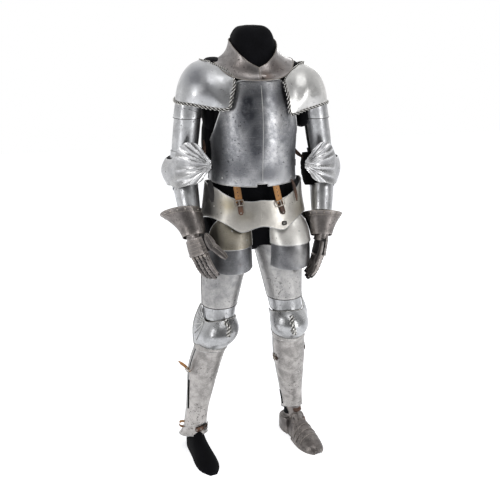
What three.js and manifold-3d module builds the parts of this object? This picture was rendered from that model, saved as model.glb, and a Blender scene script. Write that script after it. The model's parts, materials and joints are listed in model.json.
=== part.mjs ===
// A suit of armour on its padded display figure. Millimetres, +Z up, the figure faces -Y.
// The figure's right side is at -X. The origin is the middle of the footprint, on the floor.
import * as THREE from 'three';
import { mergeVertices } from 'three/addons/utils/BufferGeometryUtils.js';
import Module from 'manifold-3d';

const wasm = await Module();
wasm.setup();

// Sheet and fits
const steelWall = 1.8;
const leatherWall = 2.6;
const skinGap = 0.8;
const lameGap = 0.9;
const seatGap = 0.3;
const padGap = 1.8;
const lap = steelWall + lameGap;
const epsilonShare = 0.001;

// Heights of the figure above the floor
const legTop = 826;
const torsoBottom = legTop + seatGap;
const neckTop = 1550;
const torsoHeight = neckTop - torsoBottom;

// The torso of the figure: greatest half width, depth in front and depth behind
const torso = { wide: 148, front: 126, back: 112 };

// Breast and back plates
const chest = { bottom: 1050, top: 1386, wide: 147, front: 141, back: 122, ridge: 9 };
const chestHeight = chest.top - chest.bottom;
const backTop = 1412;
const notch = { wide: 38, deep: 9 };

// Gorget
const gorget = { front: 124, hem: 1385.6, collar: 1512, split: 0.15 };
const stud = { radius: 5, tall: 7, bar: 15, angle: 6, upShare: 0.4 };
const sideStrapSize = { wide: 22, low: 1086, from: 82, to: 114 };

// Skirt round the hips
const skirt = { wide: 184, front: 146, back: 138, hem: 905, top: 1000, centreX: 3 };
const hangStrap = { wide: 21, reach: 64, out: 3.4 };

// Tassets, one in front of each thigh
const tasset = { wide: 74, deep: 90, centreY: -62, top: 938, split: 840, hem: 754 };
const tassetTop = { tuck: 905, tuckDeep: 50, deep: 38, inward: 16 };
const tassetSpread = { inner: 62, outer: 80, taper: 0.34 };
const tassetApart = { right: 98, left: 110 };
const tassetLame = { overlap: 9, bow: 14 };
const tassetHinge = { right: -111.4, left: -108, z: 929, radius: 6, long: 20 };

// Legs of the figure: half widths at the named levels
const thigh = { wide: 84, front: 84, back: 90, lowWide: 59, lowFront: 57, lowBack: 56 };
const shin = { kneeWide: 54, calfWide: 58, calfBack: 68, ankleWide: 34, ankleDeep: 37 };
const foot = { heel: 58, toe: 196, wide: 44, tall: 112, ankleLow: 42 };

// Both sides are built as right ones, and the left side is mirrored. Outward is towards -X.
// The heel drop is how far the back of the greave runs down behind the ankle.
const rightLeg = {
  hip: { x: -88, y: 0, z: legTop },
  knee: { x: -144, y: -47, z: 510 },
  calf: { x: -186, y: -34, z: 372 },
  ankle: { x: -225, y: -8, z: 100 },
  turnIn: 16,
  footTurnIn: 10,
  heelDrop: 104,
};
const leftLeg = {
  hip: { x: -90, y: 0, z: legTop },
  knee: { x: -122, y: -53, z: 522 },
  calf: { x: -136, y: -30, z: 384 },
  ankle: { x: -170, y: 24, z: 106 },
  turnIn: 3,
  footTurnIn: -14,
  heelDrop: 66,
};

// Leg harness, measured from the knee
const cuisse = { low: 94, high: 300, spread: 104 };
const kneeLame = { high: 98, low: 50, spread: 100 };
const poleyn = { bulge: 30, up: 54, down: 54, spread: 100, wing: 114, wingOut: 24, ridge: 4,
  wingLow: 0.25, wingHigh: 1.1 };
const greave = { seat: 0.05, spread: 88, close: 6, front: 24, side: 18, flare: 6, top: 46 };

// Arms of the figure: half widths, and where the joints lie. The elbow's point is turned outward
// from behind, and the gauntlet's cuff leans outward.
const upperArm = { wide: 43, shoulder: 37, root: 30, reach: 90 };
const foreArm = { top: 39, wrist: 29 };
const rightArm = {
  shoulder: { x: -206, y: 2, z: 1364 },
  elbow: { x: -237, y: 20, z: 1085 },
  wrist: { x: -227, y: -115, z: 887 },
  knuckle: { x: -210, y: -140, z: 824 },
  backTurn: 55,
  elbowTurn: 40,
  cuffLean: 30.8,
  cuffLong: 88,
};
const leftArm = {
  shoulder: { x: -206, y: 2, z: 1350 },
  elbow: { x: -260, y: 20, z: 1066 },
  wrist: { x: -229, y: -88, z: 848 },
  knuckle: { x: -210, y: -104, z: 780 },
  backTurn: 96,
  elbowTurn: 50,
  cuffLean: 3,
  cuffLong: 78,
};

// Shoulder and arm harness
const pauldron = { wide: 92, deep: 96, tall: 112 };
const armPlate = { top: 48.7, lameTall: 46, low: 56, from: -200, to: 60, flare: 2 };
const elbow = { ball: 39, lameLow: 14, lameHigh: 66, lameSpread: 100 };
const couter = { reach: 76, tall: 60, flute: 3.5, flutes: 5, lowFlare: 15 };
const cannon = { start: 50, cutBack: 18, end: 159.4 };

// Gauntlets
const cuff = { rimWide: 69, rimDeep: 58, wristWide: 36.6, wristDeep: 32.2, turn: 50 };
const hand = { wide: 41, thick: 19, palm: 15, lames: 3, step: 2.2, top: -11, arch: 1.6, ball: 18 };
const finger = { wide: 19.6, thick: 9, gap: 1.4, curl: 16, bar: 7 };
const fingerLengths = [80, 88, 82, 68];
const thumb = { wide: 12, thick: 6, base: { x: 40.6, y: 11.4, z: -21 } };
const thumbJoint = { x: 63, y: 21, z: -55 };
const thumbTip = { x: 79, y: 36, z: -102 };

// Sabaton on the left foot
const sabaton = { clear: 1.2, heel: 2.3, heelTall: 66, heelSpread: 122, step: 2.4 };

const degrees = THREE.MathUtils.degToRad;
const { lerp, clamp, smoothstep } = THREE.MathUtils;

const zAxis = new THREE.Vector3(0, 0, 1);

function place({ x, y, z }) {
  return new THREE.Vector3(x, y, z);
}

// Values of a table at one place between its rows, joined smoothly. A row starts with its place.
function between(rows, at) {
  const last = rows.length - 1;
  let i = 0;
  while (i < last - 1 && at > rows[i + 1][0]) i += 1;
  const [from, to] = [rows[i], rows[i + 1]];
  const before = rows[Math.max(i - 1, 0)];
  const after = rows[Math.min(i + 2, last)];
  const span = to[0] - from[0];
  const t = clamp((at - from[0]) / span, 0, 1);
  const [t2, t3] = [t * t, t * t * t];
  return from.map((value, k) => {
    const leave = ((to[k] - before[k]) / (to[0] - before[0])) * span;
    const arrive = ((after[k] - value) / (after[0] - from[0])) * span;
    const start = 2 * t3 - 3 * t2 + 1;
    return start * value + (t3 - 2 * t2 + t) * leave + (1 - start) * to[k] + (t3 - t2) * arrive;
  });
}

// A form is a body of oval sections. Its rows hold height, centre x, centre y, half width,
// depth in front and depth behind.
function makeForm(rows, square = 2, turn = 0) {
  return { rows, power: 2 / square, turn };
}

function ovalPoint(form, angle, height, offset = 0) {
  const [, x, y, wide, front, back] = between(form.rows, height);
  const [s, c] = [Math.sin(degrees(angle)), Math.cos(degrees(angle))];
  const depth = (c > 0 ? front : back) + offset;
  const across = Math.sign(s) * Math.abs(s) ** form.power * (wide + offset);
  const along = -Math.sign(c) * Math.abs(c) ** form.power * depth;
  const point = new THREE.Vector3(across, along, 0).applyAxisAngle(zAxis, degrees(form.turn));
  return point.add(new THREE.Vector3(x, y, height));
}

function valueOf(value, at) {
  return typeof value === 'function' ? value(at) : value;
}

// The part of a form between two angles and two heights, either of which may change along the other
function patch(form, { left, right, low, high, offset = skinGap, relief = () => 0 }) {
  return (u, v) => {
    const angle = lerp(valueOf(left, v), valueOf(right, v), u);
    const height = lerp(valueOf(low, angle), valueOf(high, angle), v);
    return ovalPoint(form, angle, height, offset + relief(angle, v));
  };
}

function normalAt(surface, u, v, round) {
  const [u0, u1] = round ? [u - epsilonShare, u + epsilonShare] : spreadShare(u);
  const [v0, v1] = spreadShare(v);
  const across = surface(u1, v).sub(surface(u0, v));
  const up = surface(u, v1).sub(surface(u, v0));
  return across.cross(up).normalize();
}

function spreadShare(share) {
  return [Math.max(share - epsilonShare, 0), Math.min(share + epsilonShare, 1)];
}

function solid(points, faces) {
  const geometry = new THREE.BufferGeometry();
  const numbers = points.flatMap((point) => point.toArray());
  geometry.setAttribute('position', new THREE.Float32BufferAttribute(numbers, 3));
  geometry.setIndex(faces.flat());
  return geometry;
}

// A plate of even wall over a surface that gives its inner face
function sheet(surface, { cols, rows, wall = steelWall, round = false }) {
  const columns = round ? cols : cols + 1;
  const [inner, outer] = [[], []];
  for (let j = 0; j <= rows; j += 1) {
    for (let i = 0; i < columns; i += 1) {
      const [u, v] = [i / cols, j / rows];
      const point = surface(u, v);
      inner.push(point);
      outer.push(point.clone().addScaledVector(normalAt(surface, u, v, round), wall));
    }
  }
  const count = inner.length;
  const at = (i, j) => j * columns + (i % columns);
  const faces = [];
  const quad = (a, b, c, d) => faces.push([a, b, c], [a, c, d]);
  for (let j = 0; j < rows; j += 1) {
    for (let i = 0; i < cols; i += 1) {
      const [a, b, c, d] = [at(i, j), at(i + 1, j), at(i + 1, j + 1), at(i, j + 1)];
      quad(a, b, c, d);
      quad(a + count, d + count, c + count, b + count);
    }
  }
  for (let i = 0; i < cols; i += 1) {
    quad(at(i + 1, 0), at(i, 0), at(i, 0) + count, at(i + 1, 0) + count);
    quad(at(i, rows), at(i + 1, rows), at(i + 1, rows) + count, at(i, rows) + count);
  }
  for (let j = 0; j < rows && !round; j += 1) {
    quad(at(0, j), at(0, j + 1), at(0, j + 1) + count, at(0, j) + count);
    quad(at(cols, j + 1), at(cols, j), at(cols, j) + count, at(cols, j + 1) + count);
  }
  return solid([...outer, ...inner], faces);
}

// A closed body through rings of points, with a flat face on each end
function loft(ring, cols, rows) {
  const points = [];
  for (let j = 0; j <= rows; j += 1) {
    for (let i = 0; i < cols; i += 1) points.push(ring(i / cols, j / rows));
  }
  const middle = (row) => {
    const sum = new THREE.Vector3();
    for (let i = 0; i < cols; i += 1) sum.add(points[row * cols + i]);
    return sum.divideScalar(cols);
  };
  const [bottom, top] = [points.length, points.length + 1];
  const at = (i, j) => j * cols + (i % cols);
  const faces = [];
  for (let i = 0; i < cols; i += 1) {
    for (let j = 0; j < rows; j += 1) {
      const [a, b, c, d] = [at(i, j), at(i + 1, j), at(i + 1, j + 1), at(i, j + 1)];
      faces.push([a, b, c], [a, c, d]);
    }
    faces.push([at(i + 1, 0), at(i, 0), bottom], [at(i, rows), at(i + 1, rows), top]);
  }
  return solid([...points, middle(0), middle(rows)], faces);
}

function formBody(form, low, high, cols, rows, offset = 0) {
  return loft((u, v) => ovalPoint(form, u * 360, lerp(low, high, v), offset), cols, rows);
}

// A surface through rails of points: u runs along a rail and v from the first rail to the last
function net(rails) {
  const curves = rails.map((points) => new THREE.CatmullRomCurve3(points));
  return (u, v) => new THREE.CatmullRomCurve3(curves.map((curve) => curve.getPoint(u))).getPoint(v);
}

// A strap with a rectangular section along points, lying flat across the given direction
function ribbon(points, across, wide, thick) {
  const rings = points.map((point, i) => {
    const ahead = points[Math.min(i + 1, points.length - 1)];
    const behind = points[Math.max(i - 1, 0)];
    const out = ahead.clone().sub(behind).cross(across).normalize();
    return [[-1, -1], [1, -1], [1, 1], [-1, 1]].map(([side, face]) => point.clone()
      .addScaledVector(across, (side * wide) / 2).addScaledVector(out, (face * thick) / 2));
  });
  const corners = rings[0].length;
  const steps = rings.length - 1;
  return loft((u, v) => rings[Math.round(v * steps)][Math.round(u * corners)], corners, steps);
}

function toManifold(geometry) {
  const bare = geometry.clone();
  bare.deleteAttribute('normal');
  bare.deleteAttribute('uv');
  const merged = mergeVertices(bare);
  return new wasm.Manifold(new wasm.Mesh({
    numProp: 3,
    vertProperties: new Float32Array(merged.attributes.position.array),
    triVerts: new Uint32Array(merged.index.array),
  }));
}

function fromManifold(body) {
  const { vertProperties, triVerts } = body.getMesh();
  const geometry = new THREE.BufferGeometry();
  geometry.setAttribute('position', new THREE.BufferAttribute(vertProperties, 3));
  geometry.setIndex(new THREE.BufferAttribute(triVerts, 1));
  return geometry;
}

function weld(first, ...others) {
  return fromManifold(others.reduce((sum, next) => sum.add(toManifold(next)), toManifold(first)));
}

function cut(geometry, ...tools) {
  return fromManifold(tools.reduce((body, tool) => body.subtract(toManifold(tool)),
    toManifold(geometry)));
}

const steel = { color: 0xa9adb1, roughness: 0.34, metalness: 1 };
const darkSteel = { color: 0x77716c, roughness: 0.42, metalness: 1 };
const greySteel = { color: 0x8f9498, roughness: 0.38, metalness: 1 };
const jersey = { color: 0x0b0b0c, roughness: 0.95, metalness: 0 };
const gloveLeather = { color: 0x1c1a19, roughness: 0.7, metalness: 0 };
const tanLeather = { color: 0x9a6434, roughness: 0.65, metalness: 0 };

function piece(name, geometry, look) {
  const mesh = new THREE.Mesh(geometry, new THREE.MeshStandardMaterial(look));
  mesh.name = name;
  return mesh;
}

// The figure's torso. The shares are of its height, half width, front and back depth.
const torsoShares = [
  [0, 1.0, 0.66, 0.86],
  [0.12, 1.05, 0.7, 1.0],
  [0.24, 1.0, 0.76, 0.92],
  [0.34, 0.88, 0.86, 0.84],
  [0.45, 0.9, 0.94, 0.9],
  [0.57, 0.94, 1.0, 1.0],
  [0.69, 0.96, 0.92, 0.98],
  [0.755, 0.97, 0.76, 0.86],
  [0.805, 0.84, 0.6, 0.7],
  [0.855, 0.56, 0.5, 0.56],
  [0.9, 0.42, 0.45, 0.52],
  [0.95, 0.39, 0.43, 0.5],
  [0.99, 0.37, 0.4, 0.47],
  [1, 0.33, 0.35, 0.42],
];

function torsoForm() {
  return makeForm(torsoShares.map(([up, wide, front, back]) => [
    torsoBottom + up * torsoHeight, 0, 0, wide * torso.wide, front * torso.front, back * torso.back,
  ]), 2.25);
}

function torsoBody(offset) {
  return formBody(torsoForm(), torsoBottom, neckTop, 20, 12, offset);
}

// The leg's skin from the hip down to the ankle, as rows from the floor up
function legForm({ hip, knee, calf, ankle, turnIn }) {
  const kneeDeep = thigh.lowFront;
  const low = foot.ankleLow;
  return makeForm([
    [low, ankle.x, ankle.y, shin.ankleWide, shin.ankleDeep, shin.ankleDeep],
    [ankle.z, ankle.x, ankle.y, shin.ankleWide, shin.ankleDeep, shin.ankleDeep],
    [lerp(ankle.z, calf.z, 0.5), lerp(ankle.x, calf.x, 0.5), lerp(ankle.y, calf.y, 0.5),
      lerp(shin.ankleWide, shin.calfWide, 0.5), shin.ankleDeep, lerp(shin.ankleDeep, shin.calfBack, 0.6)],
    [calf.z, calf.x, calf.y, shin.calfWide, shin.kneeWide, shin.calfBack],
    [knee.z, knee.x, knee.y, shin.kneeWide, kneeDeep, thigh.lowBack],
    [lerp(knee.z, hip.z, 0.3), lerp(knee.x, hip.x, 0.3), lerp(knee.y, hip.y, 0.3),
      thigh.lowWide, thigh.lowFront, lerp(thigh.lowBack, thigh.back, 0.3)],
    [lerp(knee.z, hip.z, 0.65), lerp(knee.x, hip.x, 0.6), lerp(knee.y, hip.y, 0.65),
      lerp(thigh.lowWide, thigh.wide, 0.55), lerp(thigh.lowFront, thigh.front, 0.6),
      lerp(thigh.lowBack, thigh.back, 0.8)],
    [hip.z, hip.x, hip.y, thigh.wide, thigh.front, thigh.back],
  ], 2, turnIn);
}

// The foot's section at one share of its length from heel to toe: half width and height
const footShares = [
  [0, 0.34, 0.3],
  [0.06, 0.62, 0.6],
  [0.18, 0.78, 0.94],
  [0.32, 0.8, 0.98],
  [0.48, 0.86, 0.68],
  [0.66, 1.0, 0.44],
  [0.84, 0.94, 0.3],
  [0.95, 0.66, 0.22],
  [1, 0.3, 0.14],
];

function footPoint(leg, along, angle, clear = 0) {
  const [, wide, tall] = between(footShares, along);
  const [s, c] = [Math.sin(degrees(angle)), Math.cos(degrees(angle))];
  const span = foot.heel + foot.toe + 2 * clear;
  const point = new THREE.Vector3(
    s * (wide * foot.wide + clear),
    foot.heel + clear - along * span,
    Math.max(c, 0) * (tall * foot.tall + clear),
  );
  point.applyAxisAngle(zAxis, degrees(leg.footTurnIn));
  return point.add(new THREE.Vector3(leg.ankle.x, leg.ankle.y, 0));
}

function legBody(leg) {
  const form = legForm(leg);
  const column = formBody(form, foot.ankleLow, leg.hip.z, 12, 12, -padGap);
  const shoe = loft((u, v) => footPoint(leg, v, -u * 360), 10, 8);
  return weld(column, shoe);
}

// Breastplate and backplate: shares of height, half width and depth
const breastShares = [
  [0, 1.0, 0.93],
  [0.2, 0.985, 0.965],
  [0.45, 1.0, 1.0],
  [0.66, 1.0, 0.985],
  [0.84, 0.95, 0.87],
  [1, 0.84, 0.73],
];
const backShares = [
  [0, 1.0, 0.86],
  [0.2, 0.985, 0.88],
  [0.5, 1.0, 1.0],
  [0.75, 1.0, 1.0],
  [1, 0.86, 0.78],
];

function breastForm() {
  return makeForm(breastShares.map(([up, wide, front]) => [
    chest.bottom + up * chestHeight, 0, 0, wide * chest.wide, front * chest.front, chest.back,
  ]), 2.2);
}

function backForm() {
  return makeForm(backShares.map(([up, wide, back]) => [
    chest.bottom + up * (backTop - chest.bottom), 0, 0, wide * chest.wide, chest.front,
    back * chest.back,
  ]), 2.2);
}

// Upper edge of a chest plate by angle from its middle, as shares of its height: the armhole
// falls away from the shoulder to the side
const armholeShares = [
  [0, 1.0],
  [34, 1.0],
  [44, 0.94],
  [52, 0.8],
  [62, 0.62],
  [76, 0.46],
  [96, 0.34],
];

function chestPlate(form, middle, half, top, relief) {
  const share = (angle) => between(armholeShares, Math.abs(angle - middle))[1];
  return patch(form, {
    left: middle - half,
    right: middle + half,
    low: chest.bottom,
    high: (angle) => lerp(chest.bottom, top, share(angle)),
    relief,
  });
}

// The waist edge turned outward
function flange(v) {
  return steelWall * (1 - smoothstep(v, 0, 0.08));
}

// The medial ridge of the breast
function crest(angle) {
  return chest.ridge * Math.max(0, 1 - Math.abs(angle) / 42) ** 1.5;
}

function breastplate() {
  const relief = (angle, v) => flange(v) + crest(angle);
  const shell = sheet(chestPlate(breastForm(), 0, 96, chest.top, relief), { cols: 14, rows: 6 });
  const bite = new THREE.BoxGeometry(notch.wide, chest.front, notch.deep * 2);
  bite.translate(0, -chest.front, chest.bottom);
  return cut(shell, bite);
}

function backplate() {
  const relief = (angle, v) => flange(v);
  return sheet(chestPlate(backForm(), 180, 80, backTop, relief), { cols: 12, rows: 5 });
}

// The gorget's profile runs from its hem over the shoulders up into the collar. The rows hold the
// angle from the front, hem reach, hem height, collar reach and collar height, as shares.
const gorgetShares = [
  [0, 0.96, 0, 0.74, 0.3],
  [18, 0.98, 0.0, 0.74, 0.4],
  [45, 1.08, 0.1, 0.7, 0.66],
  [75, 1.1, 0.38, 0.62, 0.86],
  [90, 1.1, 0.46, 0.62, 0.92],
  [120, 1.04, 0.42, 0.62, 0.97],
  [150, 0.92, 0.3, 0.6, 1.0],
  [180, 0.86, 0.26, 0.58, 1.0],
];

function gorgetPoint(angle, v, offset) {
  const [, hemOut, hemUp, collarOut, collarUp] = between(gorgetShares, Math.abs(angle));
  const turnUp = (v * Math.PI) / 2;
  const out = lerp(hemOut, collarOut, Math.sin(turnUp)) * gorget.front + offset;
  const rise = lerp(hemUp, collarUp, 1 - Math.cos(turnUp));
  return new THREE.Vector3(
    Math.sin(degrees(angle)) * out,
    -Math.cos(degrees(angle)) * out,
    lerp(gorget.hem, gorget.collar, rise),
  );
}

function gorgetHalf(from, to) {
  return sheet((u, v) => gorgetPoint(lerp(from, to, u), v, 0), { cols: 11, rows: 4 });
}

// Skirt plates round the hips
const skirtShares = [
  [0, 1.0, 1.0, 1.0],
  [0.45, 0.98, 0.97, 0.96],
  [1, 0.9, 0.88, 0.88],
];

function skirtForm() {
  const tall = skirt.top - skirt.hem;
  return makeForm(skirtShares.map(([up, wide, front, back]) => [
    skirt.hem + up * tall, skirt.centreX, 0, wide * skirt.wide, front * skirt.front,
    back * skirt.back,
  ]), 2.15);
}

// Edges of the fauld by angle from the front, as shares of the skirt's height above its hem
const fauldHemShares = [
  [0, 0.11],
  [9, 0.04],
  [21, -0.12],
  [34, 0.1],
  [52, 0.3],
  [72, 0.3],
  [92, 0.06],
];
const fauldTopShares = [
  [0, 1.0],
  [10, 0.95],
  [28, 1.02],
  [46, 1.22],
  [62, 1.4],
  [92, 1.46],
];

function skirtEdge(shares, angle) {
  return skirt.hem + between(shares, Math.abs(angle))[1] * (skirt.top - skirt.hem);
}

function fauld() {
  return sheet(patch(skirtForm(), {
    left: -92,
    right: 92,
    low: (angle) => skirtEdge(fauldHemShares, angle),
    high: (angle) => skirtEdge(fauldTopShares, angle),
  }), { cols: 26, rows: 2 });
}

function culet() {
  return sheet(patch(skirtForm(), {
    left: 92.1,
    right: 267.9,
    low: skirt.hem,
    high: (angle) => lerp(skirt.hem, skirt.top, 1.46 - 0.25 * Math.sin(degrees(angle - 90))),
  }), { cols: 12, rows: 2 });
}

// A strap over the joint of breast and back plates on one side
function sideStrap(side) {
  const { wide, low, from, to } = sideStrapSize;
  return sheet(patch(breastForm(), {
    left: side > 0 ? from : -to,
    right: side > 0 ? to : -from,
    low,
    high: low + wide,
    offset: skinGap + steelWall + seatGap * 2,
  }), { cols: 6, rows: 1, wall: leatherWall });
}

// A strap from inside the breastplate's waist down over the front of the fauld
function hangingStrap(angle) {
  const inside = ovalPoint(breastForm(), angle, chest.bottom, hangStrap.out);
  const top = ovalPoint(breastForm(), angle, chest.bottom + hangStrap.wide, -leatherWall);
  const reach = skirtEdge(fauldTopShares, angle);
  const over = leatherWall + steelWall + skinGap + seatGap / 2;
  const rim = ovalPoint(skirtForm(), angle, reach, over);
  const points = [top, inside, rim, ovalPoint(skirtForm(), angle, reach - hangStrap.reach / 2, over)];
  const across = new THREE.Vector3(Math.cos(degrees(angle)), Math.sin(degrees(angle)), 0);
  return ribbon(points, across, hangStrap.wide, leatherWall);
}

// Tassets hang in front of the thighs
function tassetForm(apart) {
  const { centreY: y, wide, deep } = tasset;
  return makeForm([
    [tasset.hem, -apart, y, wide * 1.07, deep * 1.08, wide],
    [tasset.split, -apart, y, wide * 1.02, deep, wide],
    [tassetTop.tuck, tassetTop.inward / 2 - apart, y, wide * 0.92, tassetTop.tuckDeep, wide],
    [tasset.top, tassetTop.inward - apart, y, wide * 0.72, tassetTop.deep, wide],
  ], 2.2);
}

function tassetPlate(apart, low, high, offset, bow) {
  const spread = (v) => 1 - (bow > 0 ? 0 : tassetSpread.taper * v ** 3);
  return sheet(patch(tassetForm(apart), {
    left: (v) => -tassetSpread.outer * spread(v),
    right: (v) => tassetSpread.inner * spread(v),
    low: (angle) => low + bow * (1 - Math.cos(degrees(angle))),
    high,
    offset,
  }), { cols: 10, rows: 4 });
}

// The upper plate carries the roll of its hinge under the fauld
function tassetUpper(apart, side) {
  const { [side]: y, z, radius, long } = tassetHinge;
  const roll = new THREE.CylinderGeometry(radius, radius, long, 8);
  roll.rotateZ(Math.PI / 2);
  roll.translate(-apart, y, z);
  return weld(tassetPlate(apart, tasset.split, tasset.top, lap + seatGap * 2, 0), roll);
}

// Plates of the leg harness, all on the leg's skin
function cuissePlate(leg) {
  return sheet(patch(legForm(leg), {
    left: -cuisse.spread,
    right: cuisse.spread,
    low: leg.knee.z + cuisse.low,
    high: leg.knee.z + cuisse.high,
    offset: skinGap + lap,
  }), { cols: 12, rows: 4 });
}

function upperKneeLame(leg) {
  return sheet(patch(legForm(leg), {
    left: -kneeLame.spread,
    right: kneeLame.spread,
    low: leg.knee.z + kneeLame.low,
    high: leg.knee.z + kneeLame.high + kneeLame.low / 4,
  }), { cols: 12, rows: 2 });
}

function lowerKneeLame(leg) {
  return sheet(patch(legForm(leg), {
    left: -kneeLame.spread,
    right: kneeLame.spread,
    low: leg.knee.z - poleyn.down - kneeLame.low / 4,
    high: leg.knee.z - poleyn.down + kneeLame.low / 2,
    offset: skinGap + lap - seatGap / 2,
  }), { cols: 12, rows: 2 });
}

// The poleyn bulges over the knee, with a ridge down its middle and a wing on the outer side
function poleynPlate(leg) {
  const shorter = (angle) => 1 - 0.22 * Math.sin(degrees(angle)) ** 2;
  const tall = (angle, wing) => shorter(angle) * (1 + wing * wingShare(angle));
  return sheet(patch(legForm(leg), {
    left: -poleyn.wing,
    right: poleyn.spread,
    low: (angle) => leg.knee.z - poleyn.down * tall(angle, poleyn.wingLow),
    high: (angle) => leg.knee.z + poleyn.up * tall(angle, poleyn.wingHigh),
    offset: skinGap + 2 * lap,
    relief: poleynRelief,
  }), { cols: 15, rows: 6 });
}

function wingShare(angle) {
  return smoothstep(-angle, 78, 104);
}

function poleynRelief(angle, v) {
  const up = Math.sin(v * Math.PI);
  const dome = poleyn.bulge * up ** 0.8 * Math.max(0, Math.cos(degrees(angle) * 0.9));
  const ridge = poleyn.ridge * up * Math.max(0, 1 - Math.abs(angle) / 13);
  return dome + ridge + poleyn.wingOut * wingShare(angle) * up;
}

function greaveFront(leg) {
  const low = (angle) => greave.front + leg.ankle.z - greave.side * (1 - Math.cos(degrees(angle)));
  return sheet(patch(legForm(leg), {
    left: (v) => -greave.spread - greave.close * (1 - v),
    right: (v) => greave.spread + greave.close * (1 - v),
    low,
    high: leg.knee.z - greave.top,
    offset: greave.seat,
    relief: (angle, v) => greave.flare * (1 - smoothstep(v, 0, 0.16)),
  }), { cols: 10, rows: 6 });
}

function greaveBack(leg) {
  const low = (angle) => leg.ankle.z + greave.side - leg.heelDrop * heelShare(angle);
  return sheet(patch(legForm(leg), {
    left: greave.spread + 8,
    right: 360 - greave.spread - 8,
    low,
    high: leg.knee.z - greave.top * 1.6,
    relief: (angle, v) => (greave.flare + foot.heel / 3) * heelShare(angle) * (1 - smoothstep(v, 0, 0.3)),
  }), { cols: 8, rows: 6 });
}

function heelShare(angle) {
  return Math.max(0, -Math.cos(degrees(angle))) ** 1.5;
}

// Sabaton plates over the left foot: shares along the foot from heel to toe
function sabatonFront(leg) {
  const surface = (u, v) => {
    const along = lerp(0.5, 1, v);
    const step = sabaton.step * (1 - ((v * 5) % 1)) * (v < 0.6 ? 1 : 0);
    const point = footPoint(leg, along, lerp(89, -89, u), sabaton.clear + step);
    return point.setZ(point.z + seatGap);
  };
  return sheet(surface, { cols: 8, rows: 8 });
}

// The heel cup stands round the back of the foot and opens over the instep
function sabatonHeel(leg) {
  const wide = foot.wide + sabaton.heel * 2;
  const { x, y } = leg.ankle;
  const form = makeForm([
    [seatGap, x, y, wide * 0.88, wide * 1.2, foot.heel + sabaton.heel * 2],
    [sabaton.heelTall / 2, x, y, wide * 0.9, wide, foot.heel + sabaton.heel * 2],
    [sabaton.heelTall, x, y, wide * 0.92, wide, wide * 1.1],
  ], 2, leg.footTurnIn);
  return sheet(patch(form, {
    left: 180 - sabaton.heelSpread,
    right: 180 + sabaton.heelSpread,
    low: seatGap,
    high: (angle) => sabaton.heelTall * (1 - 0.2 * Math.max(0, -Math.cos(degrees(angle)))),
    offset: 0,
  }), { cols: 10, rows: 3 });
}

// The arm of the figure hangs from the shoulder
function upperArmForm({ shoulder, elbow: joint }) {
  const long = shoulder.z - joint.z;
  const [wide, cap] = [upperArm.wide, upperArm.shoulder];
  const row = (share, size, height = 0) => [
    joint.z + long * share + height,
    lerp(joint.x, shoulder.x, share), lerp(joint.y, shoulder.y, share), size, size, size,
  ];
  return makeForm([
    row(0, wide * 0.9, elbow.lameLow),
    row(0.25, wide * 0.98),
    row(0.62, wide),
    row(0.86, cap * 1.04),
    row(1, cap),
    row(1, cap * 0.8, cap * 0.55),
    row(1, cap * 0.35, cap * 0.85),
  ]);
}

function upperArmBody(arm) {
  const { shoulder, elbow: joint } = arm;
  const top = shoulder.z + upperArm.shoulder * 0.85;
  const sleeve = formBody(upperArmForm(arm), joint.z + elbow.lameLow, top, 10, 6);
  const down = place(arm.wrist).sub(place(joint)).normalize();
  const ball = new THREE.SphereGeometry(elbow.ball, 10, 8);
  ball.applyQuaternion(new THREE.Quaternion().setFromUnitVectors(new THREE.Vector3(0, -1, 0), down));
  ball.translate(joint.x, joint.y, joint.z);
  const root = new THREE.CylinderGeometry(upperArm.root, upperArm.root, upperArm.reach, 8);
  root.rotateZ(Math.PI / 2);
  root.translate(shoulder.x + upperArm.reach / 2, shoulder.y, shoulder.z);
  return cut(weld(sleeve, ball, root), torsoBody(lameGap));
}

// Plates round the upper arm, open on the inner side
function armSheet(arm, low, high, layer, rows) {
  return sheet(patch(upperArmForm(arm), {
    left: armPlate.from,
    right: armPlate.to,
    low,
    high,
    offset: skinGap + seatGap + layer * lap,
    relief: (angle, v) => layer * armPlate.flare * v * v,
  }), { cols: 12, rows });
}

// The lame above the elbow, on the side of the elbow's point
function elbowLameUpper(arm) {
  const middle = arm.elbowTurn - 180;
  return sheet(patch(upperArmForm(arm), {
    left: middle - elbow.lameSpread,
    right: middle + elbow.lameSpread,
    low: arm.elbow.z + elbow.lameLow,
    high: arm.elbow.z + elbow.lameHigh,
    offset: skinGap + lap + seatGap,
  }), { cols: 10, rows: 2 });
}

// The couter in the elbow's frame: X runs to its point and Y to its wing. The rows hold the angle
// from X to Y, and as shares of its reach the radius, the upper edge, the lower edge, the drop
// of the middle inwards and the flare of the lower edge.
const couterShares = [
  [-85, 0.617, 0.42, -0.5, 0, 0],
  [-45, 0.84, 0.54, -0.68, 0.12, 0],
  [0, 1.04, 0.55, -0.84, 0.32, 0],
  [45, 0.86, 0.54, -0.66, 0.16, 0],
  [75, 0.64, 0.6, -0.5, 0, 0.02],
  [97, 0.73, 0.94, -0.54, 0, 0.14],
  [118, 0.97, 1.14, -0.5, 0, 0.16],
  [132, 1.12, 1.3, -0.42, 0, 0.14],
  [146, 1.34, 1.4, -0.34, 0, 0.08],
  [158, 1.56, 1.3, -0.26, 0, 0],
  [166, 1.7, 0.98, 0.0, 0, 0],
  [173, 1.84, 0.62, 0.32, 0, 0],
];

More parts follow.
